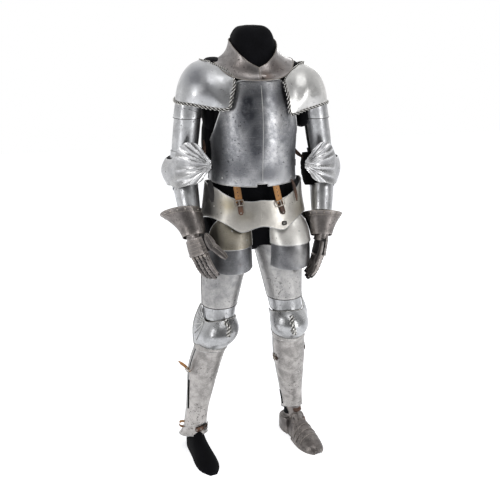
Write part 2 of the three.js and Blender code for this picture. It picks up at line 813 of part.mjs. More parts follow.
function couterPlate() {
  const surface = (u, v) => {
    const angle = lerp(couterShares[0][0], couterShares.at(-1)[0], u);
    const [, out, high, low, sag, flare] = between(couterShares, angle);
    const side = 2 * v - 1;
    const flute = (couter.flute / couter.reach) * smoothstep(angle, 80, 130)
      * (1 - Math.abs(Math.cos(v * Math.PI * couter.flutes)));
    const radius = couter.reach * (out - sag * side * side + flare * Math.min(side, 0) ** 2 + flute);
    const turn = degrees(angle);
    return new THREE.Vector3(
      radius * Math.cos(turn), radius * Math.sin(turn), couter.reach * lerp(low, high, v),
    );
  };
  return sheet(surface, { cols: 13, rows: 8 });
}

// The forearm in the elbow's frame, along -Z from the elbow to the wrist
function foreArmForm(long) {
  const { top, wrist } = foreArm;
  return makeForm([
    [-long - 8, 0, 0, wrist * 1.05, wrist * 0.85, wrist * 0.85],
    [-long * 0.85, 0, 0, wrist * 1.05, wrist, wrist],
    [-long * 0.6, 0, 0, lerp(wrist, top, 0.6), lerp(wrist, top, 0.6), lerp(wrist, top, 0.6)],
    [-long * 0.25, 0, 0, top * 1.04, top * 1.04, top * 1.04],
    [-elbow.lameLow, 0, 0, top * 0.94, top * 0.94, top * 0.94],
  ]);
}

function foreArmBody(long) {
  return formBody(foreArmForm(long), hand.ball + seatGap - long, -seatGap - elbow.ball, 12, 4, -seatGap * 2);
}

function elbowLameLower(long) {
  return sheet(patch(foreArmForm(long), {
    left: 90 - elbow.lameSpread,
    right: 90 + elbow.lameSpread,
    low: -elbow.lameHigh,
    high: -elbow.lameLow,
    offset: skinGap + lap + seatGap * 2,
  }), { cols: 10, rows: 2 });
}

// A closed tube, cut lower in the bend of the elbow
function lowerCannon(long) {
  return sheet(patch(foreArmForm(long), {
    left: 90 - elbow.lameSpread,
    right: 450 - elbow.lameSpread,
    low: -cannon.end,
    high: (angle) => -cannon.start - cannon.cutBack * (1 - Math.sin(degrees(angle))) / 2,
  }), { cols: 16, rows: 3, round: true });
}

function gauntletCuff(long, { cuffLean: lean, cuffLong }) {
  const rim = cuffLong - long;
  const wrist = foreArm.wrist * 1.05 + skinGap;
  const turn = degrees(cuff.turn);
  const row = (share, leanShare, wide, deep) => [
    lerp(-long, rim, share), lean * leanShare * Math.cos(turn), lean * leanShare * Math.sin(turn),
    wide, deep, deep,
  ];
  const { rimWide, rimDeep, wristWide, wristDeep } = cuff;
  return sheet(patch(makeForm([
    row(0, 0, wristWide, wristDeep),
    row(0.3, 0, wrist + cuffLong * 0.14, wrist + cuffLong * 0.1),
    row(0.65, 0.4, lerp(wristWide, rimWide, 0.55), lerp(wristDeep, rimDeep, 0.55)),
    row(1, 1, rimWide, rimDeep),
  ], 2, cuff.turn), {
    left: 0, right: 360, low: seatGap - long, high: rim, offset: 0,
  }), { cols: 16, rows: 3, round: true });
}

// The hand in the wrist's frame: -Z runs to the knuckles, -Y out of the back of the hand and
// X to the thumb
function handForm(long) {
  return makeForm([
    [-long, 0, 0, hand.wide, hand.thick, hand.palm],
    [-long * 0.5, 0, 0, hand.wide * 0.96, hand.thick, hand.palm],
    [0, 0, 0, hand.wide * 0.8, hand.thick, hand.palm],
  ], 2.3);
}

function handPlate(long) {
  return sheet(patch(handForm(long), {
    left: -84,
    right: 84,
    low: -long + 4,
    high: (angle) => hand.top + steelWall + hand.arch * Math.cos(degrees(angle)) ** 2,
    relief: (angle, v) => hand.step * (1 - ((v * hand.lames) % 1)) * (v < 1 ? 1 : 0),
  }), { cols: 6, rows: 6 });
}

function glovePalm(long) {
  const low = finger.bar + seatGap - long;
  const palm = loft((u, v) => ovalPoint(handForm(long), u * 360, lerp(low, hand.top, v), 0), 12, 2);
  return weld(palm, new THREE.SphereGeometry(hand.ball, 8, 6));
}

// One finger in the knuckle's frame: three joints that curl towards the palm, each with its plate
function fingerBody(x, long) {
  const joints = [0, 0.48, 0.78, 1];
  const bends = [0.4, 1.1, 2.1];
  const spine = [new THREE.Vector3(x, 0, 0)];
  joints.slice(1).forEach((share, i) => {
    const turn = degrees(finger.curl * bends[i]);
    const step = (share - joints[i]) * long;
    spine.push(spine[i].clone().add(new THREE.Vector3(0, Math.sin(turn), -Math.cos(turn))
      .multiplyScalar(step)));
  });
  const half = (finger.wide - finger.gap) / 2;
  const shares = [0, 0.3, 0.33, 0.62, 0.66, 1];
  const sizes = [1, 0.96, 1.04, 0.86, 0.94, 0.5];
  const curve = new THREE.CatmullRomCurve3(spine);
  return loft((u, v) => {
    const i = Math.round(v * (shares.length - 1));
    const at = curve.getPoint(shares[shares.length - 1 - i]);
    const size = sizes[shares.length - 1 - i];
    const turn = u * Math.PI * 2;
    return at.add(new THREE.Vector3(Math.sin(turn) * half * size,
      -Math.cos(turn) * finger.thick * size, 0));
  }, 6, shares.length - 1);
}

function fingerPlates() {
  const knuckles = new THREE.CylinderGeometry(finger.bar, finger.bar, finger.wide * 4 - finger.gap, 8);
  knuckles.rotateZ(Math.PI / 2);
  const fingers = fingerLengths.map((long, i) => fingerBody(finger.wide * (1.5 - i), long));
  return weld(knuckles, ...fingers);
}

// The thumb: two plates with a ridge along them
function thumbPlate() {
  const spine = [thumb.base, thumbJoint, thumbTip].map(place);
  const shares = [0, 0.45, 0.5, 0.92, 1];
  const sizes = [0.9, 1.0, 1.12, 0.8, 0.4];
  const curve = new THREE.CatmullRomCurve3(spine);
  const count = shares.length - 1;
  return loft((u, v) => {
    const i = count - Math.round(v * count);
    const turn = u * Math.PI * 2;
    const ridge = Math.cos(turn) > 0.9 ? 1.3 : 1;
    return curve.getPoint(shares[i]).add(new THREE.Vector3(
      Math.sin(turn) * thumb.wide * sizes[i],
      -Math.cos(turn) * thumb.thick * sizes[i] * ridge,
      0,
    ));
  }, 8, count);
}

// The pauldron's rails, from its hem to the collar at the neck. Each point holds shares of the
// width outward, the depth forward and the height above the shoulder, from back to front.
const pauldronShares = [
  [[-1.1, 1.12, -0.2], [-0.5, 1.02, -0.3], [0.3, 0.78, -0.38], [0.56, 0.16, -0.42],
    [0.5, -0.4, -0.44], [0.1, -0.8, -0.46], [-0.6, -1.1, -0.56], [-1.2, -1.3, -0.64],
    [-1.3, -1.25, -0.28]],
  [[-1.1, 1.12, 0.06], [-0.45, 1.04, -0.02], [0.26, 0.78, -0.06], [0.46, 0.12, -0.06],
    [0.42, -0.42, -0.08], [0.08, -0.84, -0.1], [-0.5, -1.12, -0.16], [-1.0, -1.2, -0.24],
    [-1.34, -1.24, 0.0]],
  [[-0.98, 1.0, 0.28], [-0.4, 0.92, 0.24], [0.14, 0.68, 0.26], [0.28, 0.06, 0.3],
    [0.26, -0.38, 0.28], [0.0, -0.72, 0.22], [-0.44, -0.96, 0.18], [-0.88, -1.0, 0.14],
    [-1.18, -0.98, 0.24]],
  [[-0.8, 0.7, 0.46], [-0.42, 0.62, 0.5], [-0.08, 0.44, 0.54], [0.0, 0.02, 0.58],
    [-0.02, -0.26, 0.56], [-0.18, -0.5, 0.52], [-0.46, -0.66, 0.48], [-0.76, -0.7, 0.44],
    [-0.9, -0.66, 0.46]],
  [[-0.64, 0.34, 0.64], [-0.5, 0.28, 0.68], [-0.4, 0.18, 0.71], [-0.36, 0.02, 0.73],
    [-0.36, -0.12, 0.73], [-0.42, -0.24, 0.71], [-0.52, -0.32, 0.7], [-0.62, -0.34, 0.68],
    [-0.62, -0.34, 0.66]],
];

function pauldronPlate({ shoulder }) {
  const rails = pauldronShares.map((rail) => rail.map(([out, along, up]) => new THREE.Vector3(
    shoulder.x - out * pauldron.wide,
    shoulder.y + along * pauldron.deep,
    shoulder.z + up * pauldron.tall,
  )));
  return sheet(net(rails), { cols: 14, rows: 6 });
}

// A stud with a turning bar that locks the gorget's halves
function turnStud() {
  const base = new THREE.CylinderGeometry(stud.radius, stud.radius, stud.tall, 10);
  const bar = new THREE.BoxGeometry(stud.bar, stud.radius / 2, stud.radius);
  bar.translate(0, stud.tall / 2, 0);
  return weld(base, bar);
}

const root = new THREE.Group();
const figure = new THREE.Group();
const leftSide = new THREE.Group();
leftSide.scale.x = -1;
root.add(figure);
figure.add(leftSide);

// A frame with its origin at a point, its X and Z nearest to the given directions
function frameAt(origin, along, facing) {
  const z = along.clone().normalize();
  const y = z.clone().cross(facing).normalize();
  const x = y.clone().cross(z);
  const frame = new THREE.Group();
  frame.applyMatrix4(new THREE.Matrix4().makeBasis(x, y, z));
  frame.position.copy(origin);
  return frame;
}

function addTorso() {
  const pin = piece('gorget_turn_stud', turnStud(), darkSteel);
  const collar = (u, v) => gorgetPoint(stud.angle + u, v, 0);
  const out = normalAt(collar, 0, stud.upShare);
  pin.position.copy(collar(0, stud.upShare));
  pin.position.addScaledVector(out, steelWall + stud.tall / 2 + seatGap * 2);
  pin.quaternion.setFromUnitVectors(new THREE.Vector3(0, 1, 0), out);
  figure.add(
    piece('dummy_torso', torsoBody(0), jersey),
    piece('breastplate', breastplate(), steel),
    piece('backplate', backplate(), steel),
    piece('gorget_right', gorgetHalf(-180 + gorget.split, -gorget.split), darkSteel),
    piece('gorget_left', gorgetHalf(gorget.split, 180 - gorget.split), darkSteel),
    pin,
    piece('fauld', fauld(), steel),
    piece('culet', culet(), greySteel),
    piece('fauld_strap_right', hangingStrap(-17), tanLeather),
    piece('fauld_strap_left', hangingStrap(22), tanLeather),
    piece('side_strap_right', sideStrap(-1), tanLeather),
    piece('side_strap_left', sideStrap(1), tanLeather),
  );
}

function addLeg(parent, side, leg) {
  const apart = tassetApart[side];
  parent.add(
    piece(`dummy_leg_${side}`, legBody(leg), jersey),
    piece(`cuisse_${side}`, cuissePlate(leg), steel),
    piece(`knee_lame_upper_${side}`, upperKneeLame(leg), steel),
    piece(`poleyn_${side}`, poleynPlate(leg), steel),
    piece(`knee_lame_lower_${side}`, lowerKneeLame(leg), steel),
    piece(`greave_front_${side}`, greaveFront(leg), steel),
    piece(`greave_back_${side}`, greaveBack(leg), greySteel),
    piece(`tasset_upper_${side}`, tassetUpper(apart, side), steel),
    piece(`tasset_lower_${side}`, tassetPlate(apart, tasset.hem,
      tasset.split + tassetLame.overlap, 0, tassetLame.bow), greySteel),
  );
}

function addArm(parent, side, arm) {
  const lameTop = arm.shoulder.z - armPlate.top;
  const lameLow = lameTop - armPlate.lameTall;
  const elbowAt = place(arm.elbow);
  const fore = place(arm.wrist).sub(elbowAt);
  const long = fore.length();
  const point = new THREE.Vector3(1, 0, 0).applyAxisAngle(zAxis, degrees(90 + arm.elbowTurn));
  parent.add(
    piece(`dummy_upper_arm_${side}`, upperArmBody(arm), jersey),
    piece(`pauldron_${side}`, pauldronPlate(arm), steel),
    piece(`arm_lame_${side}`, armSheet(arm, lameLow - lap * 3, lameTop, 1, 2), steel),
    piece(`upper_cannon_${side}`, armSheet(arm, arm.elbow.z + armPlate.low, lameLow, 0, 3), steel),
    piece(`elbow_lame_upper_${side}`, elbowLameUpper(arm), steel),
  );
  const bend = frameAt(elbowAt, zAxis, point);
  bend.add(piece(`couter_${side}`, couterPlate(), steel));
  const lower = frameAt(elbowAt, fore.clone().negate(), point);
  lower.add(
    piece(`dummy_forearm_${side}`, foreArmBody(long), jersey),
    piece(`elbow_lame_lower_${side}`, elbowLameLower(long), steel),
    piece(`lower_cannon_${side}`, lowerCannon(long), steel),
    piece(`gauntlet_cuff_${side}`, gauntletCuff(long, arm), darkSteel),
  );
  parent.add(bend, lower);
  addHand(parent, side, arm);
}

function addHand(parent, side, arm) {
  const wristAt = place(arm.wrist);
  const reach = place(arm.knuckle).sub(wristAt);
  const long = reach.length();
  const back = new THREE.Vector3(-Math.sin(degrees(arm.backTurn)), -Math.cos(degrees(arm.backTurn)), 0);
  const wrist = frameAt(wristAt, reach.clone().negate(), back.clone().cross(reach));
  wrist.add(
    piece(`hand_plate_${side}`, handPlate(long), darkSteel),
    piece(`glove_palm_${side}`, glovePalm(long), gloveLeather),
    piece(`thumb_plate_${side}`, thumbPlate(), darkSteel),
  );
  const knuckles = new THREE.Group();
  knuckles.position.z = -long;
  knuckles.add(piece(`finger_plates_${side}`, fingerPlates(), darkSteel));
  wrist.add(knuckles);
  parent.add(wrist);
}

addTorso();
addLeg(figure, 'right', rightLeg);
addLeg(leftSide, 'left', leftLeg);
addArm(figure, 'right', rightArm);
addArm(leftSide, 'left', leftArm);
leftSide.add(
  piece('sabaton_front', sabatonFront(leftLeg), darkSteel),
  piece('sabaton_heel', sabatonHeel(leftLeg), darkSteel),
);

const box = new THREE.Box3().setFromObject(figure, true);
figure.position.set(-(box.min.x + box.max.x) / 2, -(box.min.y + box.max.y) / 2, -box.min.z);

export default root;
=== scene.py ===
import json
import math

import bmesh
import bpy
import numpy as np
from bpy.props import FloatProperty, FloatVectorProperty, IntProperty, PointerProperty
from mathutils import Matrix, Vector
from mathutils.bvhtree import BVHTree
from mathutils.kdtree import KDTree


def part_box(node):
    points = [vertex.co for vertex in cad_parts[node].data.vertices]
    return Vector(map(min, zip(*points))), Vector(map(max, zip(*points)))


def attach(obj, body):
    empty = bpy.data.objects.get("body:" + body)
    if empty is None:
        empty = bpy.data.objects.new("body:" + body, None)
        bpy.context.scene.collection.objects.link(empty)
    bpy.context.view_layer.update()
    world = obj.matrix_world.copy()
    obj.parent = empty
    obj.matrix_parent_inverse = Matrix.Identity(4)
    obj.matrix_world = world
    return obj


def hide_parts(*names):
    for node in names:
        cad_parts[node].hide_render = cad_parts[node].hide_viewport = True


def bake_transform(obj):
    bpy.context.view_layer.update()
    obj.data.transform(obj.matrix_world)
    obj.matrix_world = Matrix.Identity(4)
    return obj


bl_info = {
    "name": "Suit of armour",
    "version": (1, 0, 0),
    "blender": (4, 5, 0),
    "location": "View3D > Sidebar > Armour",
    "description": "Finishes a standing suit of armour over its dummy",
    "category": "Object",
}

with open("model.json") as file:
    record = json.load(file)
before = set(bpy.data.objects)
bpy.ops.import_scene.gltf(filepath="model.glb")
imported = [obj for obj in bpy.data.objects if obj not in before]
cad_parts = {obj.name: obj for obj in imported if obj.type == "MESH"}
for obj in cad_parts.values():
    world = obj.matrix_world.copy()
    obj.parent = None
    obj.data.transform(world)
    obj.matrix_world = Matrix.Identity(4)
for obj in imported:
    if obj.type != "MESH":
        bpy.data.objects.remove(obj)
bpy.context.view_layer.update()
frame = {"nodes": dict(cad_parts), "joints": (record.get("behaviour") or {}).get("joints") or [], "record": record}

MM = 0.001
SIDES = ("right", "left")
PICTURE = 500
ELBOW_RIGHT = Vector((-237, 20, 1085))


def joint(name):
    return next(j for j in frame["joints"] if j["name"] == name)


SHIFT = Vector(joint("elbow_right")["pos_m"]) - ELBOW_RIGHT * MM
EYE = SHIFT + Vector((-575.7, -2329.9, 1622.0)) * MM
HEADING = math.radians(13.71)
TILT = math.radians(19.31)
FOCAL = 709.8
FORWARD = Vector((
    math.sin(HEADING) * math.cos(TILT), math.cos(HEADING) * math.cos(TILT), -math.sin(TILT)
))
ACROSS = Vector((math.cos(HEADING), -math.sin(HEADING), 0))
UPWARD = ACROSS.cross(FORWARD)


def spot(x, y, z):
    """A place on the figure, given in millimetres from between its heels."""
    return SHIFT + Vector((x, y, z)) * MM


class ArmourSizes(bpy.types.PropertyGroup):
    hem_rope: FloatProperty(
        name="Hem rope", description="Radius of the rope along the pauldrons' hems",
        default=0.0058, min=0.002, max=0.012, unit="LENGTH")
    fine_rope: FloatProperty(
        name="Fine rope", description="Radius of the rope up the pauldrons' front edges",
        default=0.0036, min=0.001, max=0.008, unit="LENGTH")
    knee_rope: FloatProperty(
        name="Knee rope", description="Radius of the twisted ridge on the knees",
        default=0.0098, min=0.002, max=0.012, unit="LENGTH")
    rim: FloatProperty(
        name="Rolled edge", description="Radius of the edges that are turned over a wire",
        default=0.0018, min=0.0005, max=0.005, unit="LENGTH")
    rivet: FloatProperty(
        name="Rivet", description="Radius of a rivet's head",
        default=0.0036, min=0.001, max=0.01, unit="LENGTH")
    flute: FloatProperty(
        name="Flute", description="Depth of the flutes in the elbows' fans",
        default=0.0044, min=0.0, max=0.01, unit="LENGTH")
    flutes_above: IntProperty(
        name="Flutes above", description="Flutes in the upper lobe of a fan", default=6, min=1, max=12)
    flutes_below: IntProperty(
        name="Flutes below", description="Flutes in the lower lobe of a fan", default=5, min=1, max=12)
    strap: FloatProperty(
        name="Strap", description="Width of the small straps",
        default=0.016, min=0.005, max=0.04, unit="LENGTH")


class ArmourColours(bpy.types.PropertyGroup):
    polished: FloatVectorProperty(
        name="Polished steel", description="Light tone of the polished plates",
        default=(0.54, 0.545, 0.555), subtype="COLOR", min=0, max=1)
    # The breastplate's dark tone is laid on by its patches, as painted dark reflection.
    breast: FloatVectorProperty(
        name="Breastplate", description="Dark mottled tone of the breastplate",
        default=(0.045, 0.048, 0.058), subtype="COLOR", min=0, max=1)
    ivory: FloatVectorProperty(
        name="Skirt", description="Warm tone of the skirt plates",
        default=(0.60, 0.575, 0.53), subtype="COLOR", min=0, max=1)
    greave: FloatVectorProperty(
        name="Greaves", description="Dull warm tone of the leg plates",
        default=(0.44, 0.42, 0.405), subtype="COLOR", min=0, max=1)
    brown: FloatVectorProperty(
        name="Brown iron", description="Brown tone of the gauntlets, gorget and sabaton",
        default=(0.225, 0.205, 0.195), subtype="COLOR", min=0, max=1)
    tan: FloatVectorProperty(
        name="Tan leather", description="Tone of the light straps",
        default=(0.50, 0.24, 0.075), subtype="COLOR", min=0, max=1)
    jersey: FloatVectorProperty(
        name="Jersey", description="Tone of the dummy's cover",
        default=(0.0035, 0.0035, 0.0045), subtype="COLOR", min=0, max=1)


def sizes():
    return bpy.context.scene.armour_sizes


def colours():
    return bpy.context.scene.armour_colours


def between(rows, at):
    """Values of a table at one place between its rows, joined smoothly."""
    i = 0
    while i < len(rows) - 2 and at > rows[i + 1][0]:
        i += 1
    before, a, b, after = (np.array(rows[k], float)
                           for k in (max(i - 1, 0), i, i + 1, min(i + 2, len(rows) - 1)))
    span = b[0] - a[0]
    t = min(max((at - a[0]) / span, 0), 1)
    leave = (b - before) / (b[0] - before[0]) * span
    arrive = (after - a) / (after[0] - a[0]) * span
    s = 2 * t ** 3 - 3 * t ** 2 + 1
    return s * a + (t ** 3 - 2 * t * t + t) * leave + (1 - s) * b + (t ** 3 - t * t) * arrive


def smooth(x, low, high):
    t = min(max((x - low) / (high - low), 0), 1)
    return t * t * (3 - 2 * t)


def scaled(colour, share):
    return tuple(c * share for c in colour)


def way_at(turn):
    """The level way out at an angle from the figure's front."""
    return Vector((math.sin(turn), -math.cos(turn), 0))


# Meshes

RIM_ANGLE = math.radians(55)
SHORTEST_RIM_EDGE = 0.0006
FEWEST_RIM_POINTS = 12
WEAR_REACH = 0.004
CORNER_TURN = math.radians(42)
CORNER_REACH = 3
HEM_FROM, HEM_TO = 0.06, 0.94
POLE_WIDE = 0.00003
SHORTEST_EDGE = 0.00002
USUAL_REACH = 2.45

skins = {}
pieces = {}


def add_object(name, mesh):
    """A new object at the origin, in the scene."""
    piece = bpy.data.objects.new(name, mesh)
    bpy.context.scene.collection.objects.link(piece)
    return piece


def mesh_of(name, points, faces, edges=()):
    mesh = bpy.data.meshes.new(name)
    mesh.from_pydata([tuple(p) for p in points], list(edges), faces)
    mesh.update()
    return mesh


def mesh_from(name, bm):
    mesh = bpy.data.meshes.new(name)
    bm.to_mesh(mesh)
    bm.free()
    return mesh


def settle(piece, sharp=40):
    """Smooth shading with sharp edges kept."""
    piece.data.shade_smooth()
    piece.data.set_sharp_from_angle(angle=math.radians(sharp))


def applied(piece):
    """The piece as its modifiers show it, as a plain mesh."""
    bpy.context.view_layer.update()
    graph = bpy.context.evaluated_depsgraph_get()
    mesh = bpy.data.meshes.new_from_object(piece.evaluated_get(graph))
    piece.modifiers.clear()
    old = piece.data
    piece.data = mesh
    bpy.data.meshes.remove(old)
    return piece


def outward(piece, weld=True):
    """Turns a shell's faces out, and closes its poles first."""
    bm = bmesh.new()
    bm.from_mesh(piece.data)
    if weld:
        bmesh.ops.remove_doubles(bm, verts=bm.verts, dist=POLE_WIDE)
        bmesh.ops.dissolve_degenerate(bm, edges=bm.edges, dist=SHORTEST_EDGE)
    bmesh.ops.recalc_face_normals(bm, faces=bm.faces)
    bm.to_mesh(piece.data)
    bm.free()
    return piece


def wear(piece):
    """Marks how near each point is to an edge of its plate."""
    bm = bmesh.new()
    bm.from_mesh(piece.data)
    rim = {v.index for e in bm.edges if len(e.link_faces) == 2
           and e.calc_face_angle(0) > RIM_ANGLE for v in e.verts}
    bm.free()
    tree = KDTree(max(len(rim), 1))
    for i in rim:
        tree.insert(piece.data.vertices[i].co, i)
    tree.balance()
    near = np.zeros(len(piece.data.vertices), np.float32)
    if rim:
        for v in piece.data.vertices:
            near[v.index] = math.exp(-tree.find(v.co)[2] / WEAR_REACH)
    piece.data.attributes.new("edge", "FLOAT", "POINT").data.foreach_set("value", near)


def patches(piece, spots, name="patch"):
    """Marks patches of another tone: each is a place, a radius and a strength."""
    co = np.array([v.co for v in piece.data.vertices], float).reshape(-1, 3)
    tone = np.zeros(len(co))
    for place, radius, strength in spots:
        radius = np.array(radius if hasattr(radius, "__len__") else (radius,) * 3, float) * MM
        away = np.sqrt(((co - np.array(place)) ** 2 / radius ** 2).sum(1))
        tone = np.maximum(tone, strength * np.clip(1.35 - away, 0, 1) ** 1.5)
    found = piece.data.attributes.get(name) or piece.data.attributes.new(name, "FLOAT", "POINT")
    found.data.foreach_set("value", np.clip(tone, 0, 1).astype(np.float32))


def refined(node, levels, crease):
    """A smooth copy of a plate of the frame, with its edges kept crisp."""
    bm = bmesh.new()
    bm.from_mesh(frame["nodes"][node].data)
    bmesh.ops.remove_doubles(bm, verts=bm.verts, dist=SHORTEST_EDGE)
    bmesh.ops.join_triangles(bm, faces=bm.faces, angle_face_threshold=math.radians(35),
                             angle_shape_threshold=math.radians(75))
    layer = bm.edges.layers.float.get("crease_edge") or bm.edges.layers.float.new("crease_edge")
    for e in bm.edges:
        if len(e.link_faces) == 2 and e.calc_face_angle(0) > math.radians(crease):
            e[layer] = 1.0
    name = f"{node}_plate"
    piece = add_object(name, mesh_from(name, bm))
    piece.data.materials.clear()
    modifier = piece.modifiers.new("smooth", "SUBSURF")
    modifier.levels = modifier.render_levels = levels
    return applied(piece)


def skin_of(piece):
    """The piece's surface, to look for places on it."""
    bm = bmesh.new()
    bm.from_mesh(piece.data)
    tree = BVHTree.FromBMesh(bm)
    bm.free()
    return tree


def finish_plate(piece, node, finish, body, sharp=40):
    """Gives a plate its finish and the body that it rides on."""
    settle(piece, sharp)
    wear(piece)
    if "patch" not in piece.data.attributes:
        patches(piece, ())
    piece.data.materials.clear()
    piece.data.materials.append(finish_of(finish))
    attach(piece, body)
    if node:
        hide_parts(node)
        pieces[node] = piece
        skins[node] = skin_of(piece)
    return piece


def finish_trim(piece, finish, body, sharp):
    """Gives its finish to a piece that stands for no plate. A blended piece has no one body."""
    settle(piece, sharp)
    for name in ("edge", "patch"):
        if name not in piece.data.attributes:
            piece.data.attributes.new(name, "FLOAT", "POINT")
    piece.data.materials.clear()
    piece.data.materials.append(finish_of(finish))
    if body:
        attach(piece, body)
    return piece


def rims(piece):
    """The outer edge loops of a plate, each as its points and the way out of the plate there."""
    bm = bmesh.new()
    bm.from_mesh(piece.data)
    box = np.array([v.co for v in bm.verts], float)
    inside = Vector((box.min(0) + box.max(0)) / 2)
    steps, out = {}, {}
    for e in bm.edges:
        turned = len(e.link_faces) == 2 and e.calc_face_angle(0) > RIM_ANGLE
        if turned and e.calc_length() > SHORTEST_RIM_EDGE:
            skin = max(e.link_faces, key=lambda f: f.calc_area())
            for a, b in (e.verts, reversed(e.verts)):
                steps.setdefault(a.index, []).append(b.index)
                out[a.index] = skin.normal.copy()
    bm.verts.ensure_lookup_table()
    loops, done = [], set()
    for start in steps:
        if start in done:
            continue
        loop, at, last = [start], start, None
        done.add(start)
        while True:
            ahead = [i for i in steps[at] if i != last and i not in done]
            if not ahead:
                break
            last, at = at, ahead[0]
            done.add(at)
            loop.append(at)
        if len(loop) > FEWEST_RIM_POINTS:
            points = [bm.verts[i].co.copy() for i in loop]
            normals = [out[i] for i in loop]
            score = sum(n.dot((p - inside).normalized()) for p, n in zip(points, normals)) / len(loop)
            loops.append((score, points, normals))
    bm.free()
    return [(p, n) for s, p, n in sorted(loops, key=lambda l: -l[0]) if s > 0]


def corners(points):
    """Where a closed loop turns a corner."""
    n = len(points)
    found = []
    for i in range(n):
        a = points[i] - points[(i - CORNER_REACH) % n]
        b = points[(i + CORNER_REACH) % n] - points[i]
        if a.length > 0 and b.length > 0 and a.angle(b) > CORNER_TURN:
            found.append((a.angle(b), i))
    kept = []
    for _, i in sorted(found, reverse=True):
        if all(min((i - k) % n, (k - i) % n) > CORNER_REACH * 2 for k in kept):
            kept.append(i)
    return sorted(kept)


def sides_of(loop):
    """A loop cut at its corners into its sides."""
    points, normals = loop
    cuts = corners(points)
    if len(cuts) < 2:
        return [(points + points[:1], normals + normals[:1])]
    n = len(points)
    parts = []
    for a, b in zip(cuts, cuts[1:] + [cuts[0] + n]):
        indexes = [i % n for i in range(a, b + 1)]
        parts.append(([points[i] for i in indexes], [normals[i] for i in indexes]))
    return parts


def hem_places(node, inwards, count):
    """Places along a plate's lowest edge, moved in over the plate and set on it."""
    points, normals = max(sides_of(rims(pieces[node])[0]),
                          key=lambda part: -sum(p.z for p in part[0]) / len(part[0]))
    places = []
    total = len(points) - 1
    for k in range(count):
        i = int(round((HEM_FROM + (HEM_TO - HEM_FROM) * (k + 0.5) / count) * total))
        along = (points[min(i + 2, total)] - points[max(i - 2, 0)]).normalized()
        into = normals[i].cross(along).normalized()
        for way in (into, -into):
            place, out = skins[node].find_nearest(points[i] + way * inwards + normals[i] * 0.0004)[:2]
            if place is not None and (place - (points[i] + way * inwards)).length < inwards * 0.45:
                places.append((place, out if out.dot(normals[i]) > 0 else -out))
                break
    return places


def spline(points, share):
    """A place on a smooth curve through points."""
    last = len(points) - 1
    at = min(max(share, 0.0), 1.0) * last
    i = min(int(at), last - 1)
    w = at - i
    p1, p2 = points[i], points[i + 1]
    p0 = points[i - 1] if i > 0 else p1 * 2 - p2
    p3 = points[i + 2] if i + 2 <= last else p2 * 2 - p1
    a, b, c = (max((y - x).length ** 0.5, 1e-4) for x, y in ((p0, p1), (p1, p2), (p2, p3)))
    t1 = ((p1 - p0) / a - (p2 - p0) / (a + b) + (p2 - p1) / b) * b
    t2 = ((p2 - p1) / b - (p3 - p1) / (b + c) + (p3 - p2) / c) * b
    return p1 * (2 * w ** 3 - 3 * w ** 2 + 1) + t1 * (w ** 3 - 2 * w ** 2 + w) \
        + p2 * (3 * w ** 2 - 2 * w ** 3) + t2 * (w ** 3 - w ** 2)


def pixel_ray(x, y):
    """The way from the camera through a point of the picture."""
    half = PICTURE / 2
    return (FORWARD + ACROSS * ((x - half) / FOCAL) - UPWARD * ((y - half) / FOCAL)).normalized()


def facing(x, y, depth):
    """Where the picture's point lies on the upright plane at a depth in front of the figure's middle."""
    ray = pixel_ray(x, y)
    return EYE + ray * ((spot(0, depth, 0).y - EYE.y) / ray.y)


def cast(nodes, origin, way, reach=math.inf):
    """The place and way out where a ray first meets one of some plates."""
    hits = [skins[n].ray_cast(origin, way) for n in nodes]
    hits = [h for h in hits if h[0] is not None and (h[0] - origin).length < reach]
    return min(hits, key=lambda h: (h[0] - origin).length)[:2] if hits else None


def first_seen(nodes, x, y):
    """The place and way out of the nearest of some plates at one point of the picture."""
    return cast(nodes, EYE, pixel_ray(x, y))


def seen(node, x, y):
    """Where the photograph's pixel meets a plate, and the way out of it there."""
    return first_seen((node,), x, y) or skins[node].find_nearest(EYE + pixel_ray(x, y) * USUAL_REACH)[:2]


def cover(nodes, heart, way, reach, least):
    """How far out from a heart the outermost of some plates lies."""
    hits = [skins[n].ray_cast(heart + way * reach, -way)[0] for n in nodes]
    hits = [h - heart for h in hits if h is not None]
    return max((h.length for h in hits if h.dot(way) > 0), default=least)


def pad(name, centre, half, power, fill=0.7):
    """A soft rounded block under the jersey."""
    bm = bmesh.new()
    bmesh.ops.create_uvsphere(bm, u_segments=56, v_segments=36, radius=1.0)
    for v in bm.verts:
        size = sum(abs(c) ** power for c in v.co) ** (1 / power)
        fold = 1 + 0.012 * math.sin(9 * v.co.x + 4 * v.co.z) * math.sin(7 * v.co.z - 3 * v.co.y)
        v.co = Vector([c / size * h * MM * fold for c, h in zip(v.co, half)]) + spot(*centre)
    bmesh.ops.recalc_face_normals(bm, faces=bm.faces)
    piece = finish_trim(add_object(name, mesh_from(name, bm)), "jersey", "figure", 70)
    return piece


